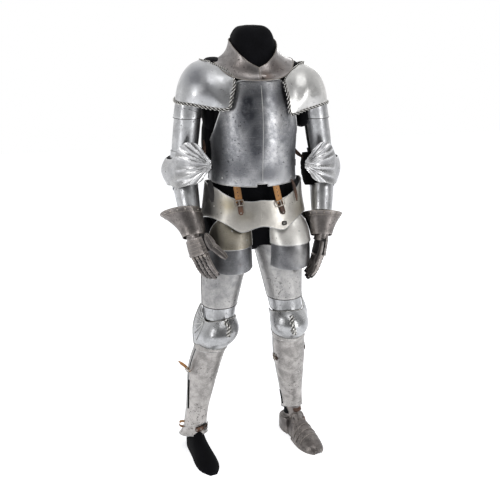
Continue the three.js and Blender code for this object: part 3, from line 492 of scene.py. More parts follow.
def shell(name, surface, cols, rows, wall=0.0018, closed=False):
    """A wall of even thickness on a surface of shares u and v, which faces outwards."""
    points = np.array([[surface(i / cols, k / rows) for i in range(cols + (not closed))]
                       for k in range(rows + 1)], float)
    wide = points.shape[1]
    if closed:
        along = np.roll(points, -1, 1) - np.roll(points, 1, 1)
    else:
        along = np.gradient(points, axis=1)
    normal = np.cross(along, np.gradient(points, axis=0))
    normal /= np.maximum(np.linalg.norm(normal, axis=2, keepdims=True), 1e-12)
    faces = []

    def face(*corners):
        faces.append(tuple(layer * wide * (rows + 1) + k * wide + i % wide for layer, k, i in corners))

    span, last = (wide if closed else wide - 1), wide - 1
    for k in range(rows):
        for i in range(span):
            face((0, k, i), (0, k, i + 1), (0, k + 1, i + 1), (0, k + 1, i))
            face((1, k, i), (1, k + 1, i), (1, k + 1, i + 1), (1, k, i + 1))
    for i in range(span):
        face((1, 0, i), (1, 0, i + 1), (0, 0, i + 1), (0, 0, i))
        face((0, rows, i), (0, rows, i + 1), (1, rows, i + 1), (1, rows, i))
    if not closed:
        for k in range(rows):
            face((0, k, 0), (0, k + 1, 0), (1, k + 1, 0), (1, k, 0))
            face((1, k, last), (1, k + 1, last), (0, k + 1, last), (0, k, last))
    both = np.concatenate([points.reshape(-1, 3), (points - normal * wall).reshape(-1, 3)])
    return add_object(name, mesh_of(name, both, faces))


def tube_faces(wide, rings):
    """The faces of a closed tube made of rings of points."""
    faces = [(k * wide + i, k * wide + (i + 1) % wide, (k + 1) * wide + (i + 1) % wide, (k + 1) * wide + i)
             for k in range(rings - 1) for i in range(wide)]
    return faces, tuple((rings - 1) * wide + i for i in range(wide))


def steps_along(points):
    """The way on at each point of a path."""
    return [(points[min(i + 1, len(points) - 1)] - points[max(i - 1, 0)]).normalized()
            for i in range(len(points))]


def spaced(points, step):
    """Points at even steps along a path."""
    lengths = np.concatenate([[0], np.cumsum([(b - a).length for a, b in zip(points, points[1:])])])
    count = max(int(round(lengths[-1] / step)), 2)
    at = np.linspace(0, lengths[-1], count + 1)
    co = np.array(points, float)
    return [Vector(c) for c in np.stack([np.interp(at, lengths, co[:, k]) for k in range(3)], 1)]


STRAP_SECTION = ((-1, 0.35), (-0.9, 1), (0, 1.06), (0.9, 1), (1, 0.35), (1, -0.6), (0.9, -1), (-0.9, -1),
                 (-1, -0.6))


def strap(name, points, outs, finish, width=None, thick=0.0024, taper=0.7):
    """A strap that follows a path, with the way out of what it lies on, narrower at its ends."""
    outs = [outs] * len(points) if isinstance(outs, Vector) else outs
    half = (width or sizes().strap) / 2
    rings, wide, last = [], len(STRAP_SECTION), len(points) - 1
    for i, (p, way, out) in enumerate(zip(points, steps_along(points), outs)):
        aside = way.cross(out).normalized()
        out = aside.cross(way).normalized()
        share = taper if taper and i in (0, last) else 1.0
        rings += [p + aside * (half * share * x) + out * (thick / 2 * y) for x, y in STRAP_SECTION]
    faces, cap = tube_faces(wide, len(points))
    faces += [tuple(reversed(range(wide))), cap]
    piece = outward(add_object(name, mesh_of(name, rings, faces)), weld=False)
    uv = piece.data.uv_layers.new(name="along")
    for poly in piece.data.polygons:
        for corner, vertex in zip(poly.loop_indices, poly.vertices):
            uv.data[corner].uv = ((vertex % wide) / wide, vertex // wide * 0.1)
    return finish_plate(piece, None, finish, "figure", 60)


# Repeated trim, made by geometry nodes

def new_tree(name, sockets):
    """An empty geometry tree with its inputs, and its first and last node."""
    tree = bpy.data.node_groups.new(name, "GeometryNodeTree")
    tree.interface.new_socket("Geometry", in_out="INPUT", socket_type="NodeSocketGeometry")
    for label, kind, value in (*sockets, ("Finish", "Material", None)):
        socket = tree.interface.new_socket(label, in_out="INPUT", socket_type=f"NodeSocket{kind}")
        if value is not None:
            socket.default_value = value
    tree.interface.new_socket("Geometry", in_out="OUTPUT", socket_type="NodeSocketGeometry")
    return tree, tree.nodes.new("NodeGroupInput"), tree.nodes.new("NodeGroupOutput")


def tree_node(tree, kind, settings=None, **inputs):
    """A node with its settings and inputs. i0 is the first input, and others go by their names."""
    made = tree.nodes.new(kind)
    for key, value in (settings or {}).items():
        setattr(made, key, value)
    for key, value in inputs.items():
        numbered = key.startswith("i") and key[1:].isdigit()
        socket = made.inputs[int(key[1:]) if numbered else key.replace("_", " ")]
        if hasattr(value, "is_output"):
            tree.links.new(value, socket)
        else:
            socket.default_value = value
    return made


def sum_node(tree, kind, a, b):
    """The outcome of one sum of two values."""
    return tree_node(tree, "ShaderNodeMath", {"operation": kind}, i0=a, i1=b).outputs[0]


def ends_with(tree, shape, start, end):
    """Smooth shading, instances made real and the material, at the end of each tree."""
    shade = tree_node(tree, "GeometryNodeSetShadeSmooth", i0=shape, i2=True)
    real = tree_node(tree, "GeometryNodeRealizeInstances", i0=shade.outputs[0])
    paint = tree_node(tree, "GeometryNodeSetMaterial", i0=real.outputs[0], Material=start.outputs["Finish"])
    tree.links.new(paint.outputs[0], end.inputs[0])
    return tree


def even_line(tree, start):
    """The paths that come in, as curves with points at even steps."""
    line = tree_node(tree, "GeometryNodeMeshToCurve", i0=start.outputs["Geometry"])
    return tree_node(tree, "GeometryNodeResampleCurve", {"mode": "LENGTH"},
                     i0=line.outputs[0], Length=start.outputs["Step"])


def rope_tree():
    """A twisted rope of several strands along a path."""
    tree, start, end = new_tree("rope_edge", [
        ("Radius", "Float", 0.005), ("Pitch", "Float", 0.05), ("Strands", "Int", 4),
        ("Groove", "Float", 0.3), ("Step", "Float", 0.002)])
    radius = start.outputs["Radius"]
    even = even_line(tree, start)
    along = tree_node(tree, "GeometryNodeSplineParameter")
    turns = sum_node(tree, "DIVIDE", along.outputs["Length"], start.outputs["Pitch"])
    twisted = tree_node(tree, "GeometryNodeSetCurveTilt", i0=even.outputs[0],
                        Tilt=sum_node(tree, "MULTIPLY", turns, math.tau))
    low = sum_node(tree, "MULTIPLY", sum_node(tree, "SUBTRACT", 1.0, start.outputs["Groove"]), radius)
    star = tree_node(tree, "GeometryNodeCurveStar", Points=start.outputs["Strands"],
                     Inner_Radius=low, Outer_Radius=radius)
    kind = tree_node(tree, "GeometryNodeCurveSplineType", {"spline_type": "CATMULL_ROM"},
                     i0=star.outputs[0])
    ring = tree_node(tree, "GeometryNodeResampleCurve", {"mode": "COUNT"}, i0=kind.outputs[0],
                     Count=sum_node(tree, "MULTIPLY", start.outputs["Strands"], 4.0))
    place = tree_node(tree, "GeometryNodeInputPosition")
    far = tree_node(tree, "ShaderNodeVectorMath", {"operation": "LENGTH"}, i0=place.outputs[0])
    mark = tree_node(tree, "GeometryNodeStoreNamedAttribute", {"data_type": "FLOAT", "domain": "POINT"},
                     i0=ring.outputs[0], Name="crown",
                     Value=sum_node(tree, "DIVIDE", far.outputs["Value"], radius))
    swept = tree_node(tree, "GeometryNodeCurveToMesh", i0=twisted.outputs[0],
                      Profile_Curve=mark.outputs[0], Fill_Caps=True)
    return ends_with(tree, swept.outputs[0], start, end)


def bead_tree():
    """A round rolled edge along a path."""
    tree, start, end = new_tree("rolled_edge", [("Radius", "Float", 0.0018), ("Step", "Float", 0.003)])
    even = even_line(tree, start)
    ring = tree_node(tree, "GeometryNodeCurvePrimitiveCircle", {"mode": "RADIUS"}, Resolution=8,
                     Radius=start.outputs["Radius"])
    swept = tree_node(tree, "GeometryNodeCurveToMesh", i0=even.outputs[0],
                      Profile_Curve=ring.outputs[0], Fill_Caps=True)
    return ends_with(tree, swept.outputs[0], start, end)


def way_of(tree, name):
    """A way that each point carries."""
    return tree_node(tree, "GeometryNodeInputNamedAttribute", {"data_type": "FLOAT_VECTOR"},
                     Name=name).outputs[0]


def rivet_tree():
    """Domed rivet heads on points, turned the way that each point's "out" says."""
    tree, start, end = new_tree("rivets", [("Radius", "Float", 0.0036), ("Height", "Float", 0.5)])
    points = tree_node(tree, "GeometryNodeMeshToPoints", i0=start.outputs["Geometry"])
    ball = tree_node(tree, "GeometryNodeMeshUVSphere", Segments=12, Rings=7, Radius=start.outputs["Radius"])
    flat = tree_node(tree, "ShaderNodeCombineXYZ", X=1.0, Y=1.0, Z=start.outputs["Height"])
    head = tree_node(tree, "GeometryNodeTransform", Geometry=ball.outputs["Mesh"], Scale=flat.outputs[0])
    turn = tree_node(tree, "FunctionNodeAlignRotationToVector", {"axis": "Z"}, Vector=way_of(tree, "out"))
    placed = tree_node(tree, "GeometryNodeInstanceOnPoints", Points=points.outputs[0],
                       Instance=head.outputs[0], Rotation=turn.outputs[0])
    return ends_with(tree, placed.outputs[0], start, end)


def scale_tree():
    """Small overlapping plates on points, like the scales on the back of a finger."""
    tree, start, end = new_tree("scales", [("Wide", "Float", 0.008), ("Long", "Float", 0.007)])
    points = tree_node(tree, "GeometryNodeMeshToPoints", i0=start.outputs["Geometry"])
    half = tree_node(tree, "GeometryNodeMeshUVSphere", Segments=14, Rings=8, Radius=1.0)
    size = tree_node(tree, "ShaderNodeCombineXYZ", X=start.outputs["Wide"], Y=start.outputs["Long"],
                     Z=sum_node(tree, "MULTIPLY", start.outputs["Wide"], 0.32))
    scale = tree_node(tree, "GeometryNodeTransform", Geometry=half.outputs["Mesh"], Scale=size.outputs[0])
    first = tree_node(tree, "FunctionNodeAlignRotationToVector", {"axis": "Z"}, Vector=way_of(tree, "out"))
    turn = tree_node(tree, "FunctionNodeAlignRotationToVector", {"axis": "Y", "pivot_axis": "Z"},
                     Rotation=first.outputs[0], Vector=way_of(tree, "way"))
    placed = tree_node(tree, "GeometryNodeInstanceOnPoints", Points=points.outputs[0],
                       Instance=scale.outputs[0], Rotation=turn.outputs[0])
    return ends_with(tree, placed.outputs[0], start, end)


TREE_MAKERS = {"rope": rope_tree, "bead": bead_tree, "rivets": rivet_tree, "scales": scale_tree}
trees = {}


def grown(name, kind, source, finish, body, slot=None, **inputs):
    """What a tree makes of a small mesh, as a plain mesh that rides on a body."""
    if kind not in trees:
        trees[kind] = TREE_MAKERS[kind]()
    piece = add_object(name, source)
    modifier = piece.modifiers.new("trim", "NODES")
    modifier.node_group = trees[kind]
    inputs["Finish"] = finish_of(finish)
    for item in modifier.node_group.interface.items_tree:
        if item.in_out == "INPUT" and item.name in inputs:
            modifier[item.identifier] = inputs[item.name]
    applied(piece)
    if not piece.data.polygons:
        raise RuntimeError(f"{name} came out empty")
    return finish_trim(piece, finish, body, 60)


def path_mesh(name, paths):
    """Loose edges along each path. A path that ends where it starts is closed."""
    points, edges = [], []
    for path in paths:
        closed = (path[0] - path[-1]).length < 1e-6
        body = path[:-1] if closed else path
        first = len(points)
        points += body
        edges += [(first + i, first + i + 1) for i in range(len(body) - 1)]
        if closed:
            edges.append((first + len(body) - 1, first))
    return mesh_of(name, points, [], edges)


def rope(name, paths, radius, body="figure", pitch=6.5, groove=0.34):
    """A twisted steel rope along each path. The pitch is its turn's length in radii."""
    return grown(name, "rope", path_mesh(name, paths), "rope", body, Radius=radius,
                 Pitch=radius * pitch, Strands=3, Groove=groove, Step=radius * 0.28)


def bead(name, paths, radius, finish, body="figure", slot=None):
    """A round wire along each path."""
    return grown(name, "bead", path_mesh(name, paths), finish, body, slot, Radius=radius,
                 Step=max(radius * 1.2, 0.002))


def points_mesh(name, places, **ways):
    """Loose points that carry the ways that the trees ask for."""
    mesh = mesh_of(name, places, [])
    for label, values in ways.items():
        mesh.attributes.new(label, "FLOAT_VECTOR", "POINT").data.foreach_set(
            "vector", np.array(values, np.float32).ravel())
    return mesh


def rivets(name, places, finish, radius=None, body="figure", slot=None, height=0.5):
    """Rivet heads at places, each with its way out."""
    return grown(name, "rivets", points_mesh(name, [p for p, _ in places], out=[o for _, o in places]),
                 finish, body, slot, Radius=radius or sizes().rivet, Height=height)


def rivets_at(name, node, pixels, finish, radius=None, body="figure"):
    """Rivet heads where points of the picture meet a plate."""
    return rivets(name, [seen(node, *pixel) for pixel in pixels], finish, radius, body)


# Materials

class Finish:
    """A node material, built up from small steps."""

    def __init__(self, name, metallic, roughness, specular=0.5):
        self.material = bpy.data.materials.new(name)
        self.material.use_nodes = True
        self.tree = self.material.node_tree
        self.tree.nodes.clear()
        self.shader = self.node("BsdfPrincipled", Metallic=metallic, Roughness=roughness,
                                Specular_IOR_Level=specular)
        self.node("OutputMaterial", i0=self.shader.outputs[0])
        self.place = self.node("TexCoord").outputs["Object"]

    def node(self, kind, settings=None, **inputs):
        return tree_node(self.tree, f"ShaderNode{kind}", settings, **inputs)

    def stretched(self, scale, turn=(0, 0, 0)):
        return self.node("Mapping", Vector=self.place, Scale=scale, Rotation=turn).outputs[0]

    def noise(self, scale, detail, rough=0.55, place=None, distortion=0.0):
        return self.node("TexNoise", Vector=place or self.place, Scale=scale, Detail=detail,
                         Roughness=rough, Distortion=distortion).outputs["Fac"]

    def cells(self, scale):
        return self.node("TexVoronoi", Vector=self.place, Scale=scale).outputs["Distance"]

    def wave(self, scale, direction, distortion, place=None):
        return self.node("TexWave", {"bands_direction": direction}, Vector=place or self.place,
                         Scale=scale, Distortion=distortion).outputs["Fac"]

    def attribute(self, name):
        return self.node("Attribute", {"attribute_name": name}).outputs["Fac"]

    def range(self, value, low, high, to_low=0.0, to_high=1.0):
        return self.node("MapRange", {"interpolation_type": "SMOOTHSTEP"}, Value=value, From_Min=low,
                         From_Max=high, To_Min=to_low, To_Max=to_high).outputs[0]

    def times(self, a, b):
        return sum_node(self.tree, "MULTIPLY", a, b)

    def plus(self, a, b):
        return sum_node(self.tree, "ADD", a, b)

    def rest(self, a):
        return sum_node(self.tree, "SUBTRACT", 1.0, a)

    def mix(self, factor, a, b):
        a, b = (v if hasattr(v, "is_output") else (*v[:3], 1) for v in (a, b))
        return self.node("Mix", {"data_type": "RGBA"}, i0=factor, i6=a, i7=b).outputs[2]

    def bump(self, height, strength, distance, under=None):
        more = {} if under is None else {"Normal": under}
        return self.node("Bump", Strength=strength, Distance=distance, Height=height, **more).outputs[0]

    def done(self, colour, roughness, normal=None, metallic=None, specular=None):
        for value, label in ((colour, "Base Color"), (roughness, "Roughness"), (normal, "Normal"),
                             (metallic, "Metallic"), (specular, "Specular IOR Level")):
            if value is not None:
                self.tree.links.new(value, self.shader.inputs[label])
        return self.material


def steel(name, light, dark, patina, rough, mottle=1.0, pits=0.3, rust=0.1, seed=0.0, streaks=0.35,
          rim=1.25, hammer=0.25):
    """Old steel: broad tones, fine mottling, scratches, pits, rust in the pits and rubbed edges.
    It takes the patina's colour where it is marked with patches, and is dark and dull where marked
    with painted shade."""
    finish = Finish(name, 1.0, sum(rough) / 2)
    times, plus, span = finish.times, finish.plus, finish.range
    finish.place = finish.node("Mapping", Vector=finish.place,
                               Location=(seed, seed * 0.7, seed * 1.3)).outputs[0]
    broad = finish.noise(5.5, 3, 0.5, distortion=0.4)
    middle = finish.noise(34, 5, 0.62, distortion=0.3)
    fine = finish.noise(210, 4, 0.6)
    tone = plus(times(broad, 0.38), plus(times(middle, 0.42), times(fine, 0.2)))
    spread = 0.17 / max(mottle, 0.2)
    colour = finish.mix(span(tone, 0.5 - spread, 0.5 + spread), dark, light)
    patch = times(finish.attribute("patch"), span(middle, 0.18, 0.62, 0.45, 1.0))
    colour = finish.mix(patch, colour, patina)
    lines = finish.noise(26, 4, 0.7, finish.stretched((1.0, 1.0, 26.0), (0.3, 0.5, 0.2)))
    colour = finish.mix(times(span(lines, 0.60, 0.72), streaks * 0.5), colour, (0.86, 0.86, 0.87))
    # Painted shade: where the shade attribute is marked, the colour goes dark and the steel less metallic and less
    # shiny, standing for shadow.
    painted_shade_mask = times(finish.attribute("shade"), span(middle, 0.15, 0.6, 0.86, 1.0))
    colour = finish.mix(painted_shade_mask, colour, scaled(dark, 0.12))
    spots = span(finish.noise(150, 2, 0.5), 0.64 - 0.06 * pits, 0.74)
    where = span(finish.noise(11, 2, 0.5), 0.42, 0.62)
    pitted = times(spots, times(where, min(pits * 2, 1.0)))
    colour = finish.mix(pitted, colour, scaled(dark, 0.22))
    rusty = times(span(finish.noise(60, 4, 0.7), 0.62, 0.72), span(finish.noise(7, 2, 0.5), 0.5, 0.66))
    colour = finish.mix(times(rusty, rust), colour, (0.17, 0.085, 0.04))
    edge = times(finish.attribute("edge"), span(middle, 0.3, 0.6, 0.25, 0.8))
    colour = finish.mix(edge, colour, tuple(min(c * rim, 0.92) for c in light))
    dullness = plus(span(middle, 0.3, 0.7, rough[1], rough[0]), times(span(fine, 0.35, 0.7), 0.07))
    for mark, weight in ((pitted, 0.25), (patch, 0.08), (painted_shade_mask, 0.35)):
        dullness = plus(dullness, times(mark, weight))
    under = finish.bump(finish.noise(17, 2, 0.45), hammer, 0.004)
    under = finish.bump(fine, 0.18, 0.0006, under)
    normal = finish.bump(finish.rest(pitted), 0.7, 0.0009, under)
    bare = finish.rest(times(painted_shade_mask, 0.9))
    return finish.done(colour, dullness, normal, bare, times(bare, 0.5))


def rope_steel(name, light, dark):
    """Steel rope, near black in the hollows between its strands and light on their crowns."""
    rough = 0.34
    finish = Finish(name, 1.0, rough)
    grain = finish.noise(120, 4, 0.6)
    colour = finish.mix(finish.range(finish.attribute("crown"), 0.70, 0.93), dark, light)
    colour = finish.mix(finish.range(grain, 0.5, 0.75, 0.0, 0.5), colour, scaled(light, 0.6))
    return finish.done(colour, finish.range(grain, 0.3, 0.7, rough - 0.06, rough + 0.12),
                       finish.bump(grain, 0.25, 0.0008))


def leather(name, colour, dark, rough):
    """Leather with its grain, creases and dark worn patches."""
    finish = Finish(name, 0.0, rough, 0.4)
    creases = finish.noise(75, 5, 0.65, distortion=0.6)
    tone = finish.mix(finish.range(finish.noise(22, 3, 0.5), 0.35, 0.68), dark, colour)
    tone = finish.mix(finish.range(creases, 0.55, 0.72, 0.0, 0.55), tone, scaled(dark, 0.45))
    tone = finish.mix(finish.times(finish.attribute("edge"), 0.4), tone, scaled(dark, 0.5))
    under = finish.bump(finish.cells(620), 0.25, 0.0005)
    return finish.done(tone, finish.range(creases, 0.3, 0.7, rough - 0.08, rough + 0.15),
                       finish.bump(creases, 0.4, 0.001, under))


def knit(name, colour):
    """Close black jersey: fine ribs of stitches, a little sheen and fluff."""
    finish = Finish(name, 0.0, 0.92, 0.05)
    rows = finish.wave(165, "Z", 0.6)
    ribs = finish.wave(120, "X", 0.8, finish.stretched((1, 1, 0.2)))
    cloth = finish.times(rows, ribs)
    folds = finish.noise(14, 4, 0.55, distortion=0.5)
    tone = finish.mix(finish.range(folds, 0.3, 0.75), scaled(colour, 0.6), scaled(colour, 1.3))
    finish.shader.inputs["Sheen Weight"].default_value = 0.03
    finish.shader.inputs["Sheen Roughness"].default_value = 0.6
    under = finish.bump(folds, 0.35, 0.004)
    return finish.done(tone, finish.range(cloth, 0, 1, 0.85, 0.98), finish.bump(cloth, 0.5, 0.0006, under))


FINISH_MORE = {"couter": {"hammer": 0.15}, "knee": {"hammer": 0.4}, "breast": {"streaks": 0.5},
               "greave": {"hammer": 0.6}, "brown": {"rim": 1.9}, "gorget": {"rim": 1.7}}
BODY_OF = {node: body for body, nodes in frame["record"]["behaviour"]["bodies"].items() for node in nodes}
finishes = {}


def finish_table():
    """Each finish: its maker and what that takes. A steel takes its name, its light and dark tones, its
    patina, its roughness from and to, and how far it is mottled, pitted and rusty, and a seed."""
    c = colours()
    pale, breast, ivory, greave, brown, tan = (
        tuple(v) for v in (c.polished, c.breast, c.ivory, c.greave, c.brown, c.tan))
    return {
        "polished": (steel, "polished_steel", scaled(pale, 1.1), scaled(pale, 0.55), (0.23, 0.235, 0.26),
                     (0.27, 0.43), 1.0, 0.3, 0.08, 1.3),
        "dome": (steel, "pauldron_steel", scaled(pale, 1.12), scaled(pale, 0.62), (0.26, 0.265, 0.285),
                 (0.24, 0.38), 0.8, 0.2, 0.05, 2.1),
        "dome_pale": (steel, "pale_pauldron_steel", (0.74, 0.735, 0.72), (0.50, 0.495, 0.485),
                      (0.38, 0.37, 0.36), (0.26, 0.40), 0.8, 0.25, 0.1, 18.3),
        "couter": (steel, "couter_steel", (0.54, 0.54, 0.54), (0.27, 0.27, 0.28), (0.44, 0.38, 0.33),
                   (0.22, 0.34), 0.8, 0.15, 0.05, 15.2),
        "knee": (steel, "knee_steel", scaled(pale, 0.94), scaled(pale, 0.5), (0.22, 0.22, 0.24),
                 (0.22, 0.34), 0.9, 0.2, 0.1, 16.4),
        "ivory_rivet": (steel, "skirt_rivet_steel", ivory, scaled(ivory, 0.6), (0.3, 0.25, 0.15),
                        (0.3, 0.44), 0.8, 0.2, 0.2, 17.7),
        # The breastplate's patina tone is the dark of its painted reflections.
        "breast": (steel, "breast_steel", (0.50, 0.50, 0.51), (0.21, 0.215, 0.23), breast,
                   (0.27, 0.43), 1.5, 0.8, 0.12, 0.4),
        "ivory": (steel, "skirt_steel", ivory, scaled(ivory, 0.66), (0.30, 0.25, 0.15),
                  (0.30, 0.44), 0.8, 0.3, 0.35, 3.7),
        "ivory_pale": (steel, "pale_tasset_steel", (0.80, 0.785, 0.75), (0.58, 0.565, 0.535),
                       (0.42, 0.39, 0.34), (0.38, 0.52), 0.8, 0.3, 0.2, 19.1),
        "gold": (steel, "tasset_steel", (0.40, 0.365, 0.295), (0.235, 0.21, 0.165), (0.46, 0.43, 0.38),
                 (0.28, 0.42), 0.8, 0.3, 0.3, 5.1),
        "blued": (steel, "blued_steel", (0.25, 0.252, 0.262), (0.112, 0.113, 0.12), (0.31, 0.305, 0.30),
                  (0.30, 0.44), 1.0, 0.25, 0.1, 4.4),
        "greave": (steel, "greave_steel", greave, scaled(greave, 0.52), (0.26, 0.24, 0.225),
                   (0.27, 0.42), 1.6, 1.5, 0.5, 6.2),
        "cuisse": (steel, "cuisse_steel", (0.44, 0.43, 0.42), (0.24, 0.24, 0.245), (0.34, 0.31, 0.29),
                   (0.32, 0.46), 1.1, 0.8, 0.4, 7.7),
        "brown": (steel, "brown_iron", scaled(brown, 1.1), scaled(brown, 0.45), (0.12, 0.085, 0.07),
                  (0.30, 0.46), 1.2, 0.7, 0.4, 8.3),
        "gorget": (steel, "gorget_steel", (0.30, 0.285, 0.28), (0.155, 0.145, 0.145),
                   (0.145, 0.105, 0.085), (0.28, 0.42), 1.0, 0.5, 0.3, 9.6),
        "dark": (steel, "dark_steel", (0.14, 0.135, 0.13), (0.05, 0.048, 0.047), (0.07, 0.05, 0.04),
                 (0.36, 0.5), 0.9, 0.4, 0.2, 10.9),
        "buckle": (steel, "buckle_steel", (0.50, 0.47, 0.42), (0.22, 0.19, 0.16), (0.2, 0.15, 0.1),
                   (0.34, 0.46), 0.9, 0.3, 0.3, 12.4),
        "wire": (steel, "rim_steel", (0.60, 0.60, 0.59), (0.34, 0.34, 0.34), (0.3, 0.3, 0.3),
                 (0.26, 0.4), 0.8, 0.1, 0.05, 13.1),
        "brown_wire": (steel, "brown_rim_steel", (0.36, 0.33, 0.30), (0.17, 0.15, 0.135),
                       (0.2, 0.15, 0.1), (0.36, 0.5), 0.8, 0.2, 0.2, 14.0),
        "rope": (rope_steel, "rope_steel", (0.66, 0.65, 0.62), (0.035, 0.032, 0.03)),
        "tan": (leather, "tan_strap_leather", tan, scaled(tan, 0.45), 0.55),
        "umber": (leather, "brown_strap_leather", (0.13, 0.062, 0.034), (0.04, 0.02, 0.013), 0.5),
        "glove": (leather, "glove_leather", (0.022, 0.019, 0.018), (0.008, 0.007, 0.007), 0.48),
        "jersey": (knit, "jersey_knit", tuple(c.jersey)),
    }


def finish_of(name):
    """The material of a finish, made when it is first asked for."""
    if name not in finishes:
        maker, *values = finish_table()[name]
        finishes[name] = maker(*values, **FINISH_MORE.get(name, {}))
    return finishes[name]


def dress(node, finish, levels=2, crease=48, spots=(), painted_shades=()):
    """One plate of the frame, refined and finished, with its patches of patina and of painted shade."""
    piece = refined(node, levels, crease)
    patches(piece, spots)
    patches(piece, painted_shades, "shade")
    return finish_plate(piece, node, finish, BODY_OF[node])


def edged(node, finish="wire", radius=None, slot=None):
    """A rolled edge round a plate's outer loops."""
    paths = [points + points[:1] for points, _ in rims(pieces[node])]
    return bead(f"{node}_edge", paths, radius or sizes().rim, finish, BODY_OF[node], slot)


BUCKLE_CORNERS = ((-1, -1), (-0.2, -1.06), (1, -1), (1.04, 0), (1, 1), (-0.2, 1.06), (-1, 1), (-1.04, 0))


def buckle(name, centre, out, along, wide, long, finish="buckle", thick=0.0016):
    """A rectangular frame with its tongue, lying on a strap."""
    out, along = out.normalized(), (along - out * along.dot(out)).normalized()
    across = along.cross(out)
    loop = [centre + across * (wide / 2 * x) + along * (long / 2 * y) + out * 0.0022
            for x, y in BUCKLE_CORNERS]
    tongue = [centre + along * (long * 0.5 * t) + out * (0.003 + 0.0012 * math.sin(math.pi * (t + 1) / 2))
              for t in (-1, -0.5, 0, 0.5, 1)]
    return bead(name, [loop + loop[:1], tongue], thick, finish)


PADS = (
    ("shoulder_pad_right", (-126, 24, 1424), (36, 54, 27), 2.4),
    ("shoulder_pad_left", (126, 20, 1412), (36, 54, 27), 2.4),
    ("armpit_right", (-127, 28, 1284), (39, 60, 86), 2.5),
    ("armpit_left", (176, 14, 1262), (25, 42, 48), 2.5),
    ("side_pad_right", (-140, 42, 1165), (25, 60, 100), 2.3),
    ("hip_right", (-148, 25, 868), (25, 58, 54), 2.2),
    ("hip_left", (172, 18, 868), (22, 58, 66), 2.2),
    ("groin", (-5, -22, 828), (25, 50, 32), 2.0),
    ("seat", (0, 62, 838), (146, 56, 40), 2.4),
)


class ARMOUR_OT_dummy(bpy.types.Operator):
    """Cover the dummy in black jersey, with sleeves over its elbows and gloves on its hands"""
    bl_idname = "armour.dummy"
    bl_label = "Dummy"

    def execute(self, context):
        nodes = ["dummy_torso"] + [f"dummy_{part}_{side}" for side in SIDES
                                   for part in ("leg", "upper_arm", "forearm")]
        for node in nodes:
            piece = dress(node, "jersey", levels=3 if node == "dummy_torso" else 2)
        for v in pieces["dummy_torso"].data.vertices:
            top = smooth(v.co.z, 1.50, 1.545)
            middle = spot(0, 10, v.co.z / MM)
            v.co = v.co.lerp(middle, 0.3 * top) - Vector((0, 0, 0.003 * top))
        for row in PADS:
            pad(*row)
        for side in SIDES:
            self.sleeve(side)
            piece = dress(f"glove_palm_{side}", "glove")
        return {"FINISHED"}

    def sleeve(self, side):
        """A loose sleeve, shaped round the elbow as it is bent now."""
        elbow = Vector(joint(f"elbow_{side}")["pos_m"])
        wrist = Vector(joint(f"wrist_{side}")["pos_m"])
        shoulder = spot(-206, 2, 1364) if side == "right" else spot(206, 2, 1350)
        up, down = (shoulder - elbow).normalized(), (wrist - elbow).normalized()
        bend = (up - down).normalized()
        front = (up + down).normalized() if (up + down).length > 0.05 else Vector((0, -1, 0))
        aside = bend.cross(front).normalized()
        bulk = 0.036 if side == "left" else 0.008
        inward = Vector((-0.86 if side == "left" else 0.86, 0.5, 0))

        def surface(u, v):
            t = 2 * v - 1
            axis = elbow + (up if t > 0 else down) * (abs(t) ** 1.15 * 0.06)
            turn = math.tau * u
            fold = 0.0011 * math.sin(5 * turn + 7 * t) * math.sin(9 * t + 2 * turn)
            out = front * math.cos(turn) + aside * math.sin(turn)
            radius = 0.0402 - 0.0018 * t * t + fold
            radius += bulk * max(out.dot(inward), 0) ** 1.5 * (1 - 0.35 * t * t)
            return axis + out * radius

        piece = outward(shell(f"elbow_sleeve_{side}", surface, 48, 30, 0.0012, closed=True), weld=False)
        finish_trim(piece, "jersey", None, 70)
        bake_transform(piece)


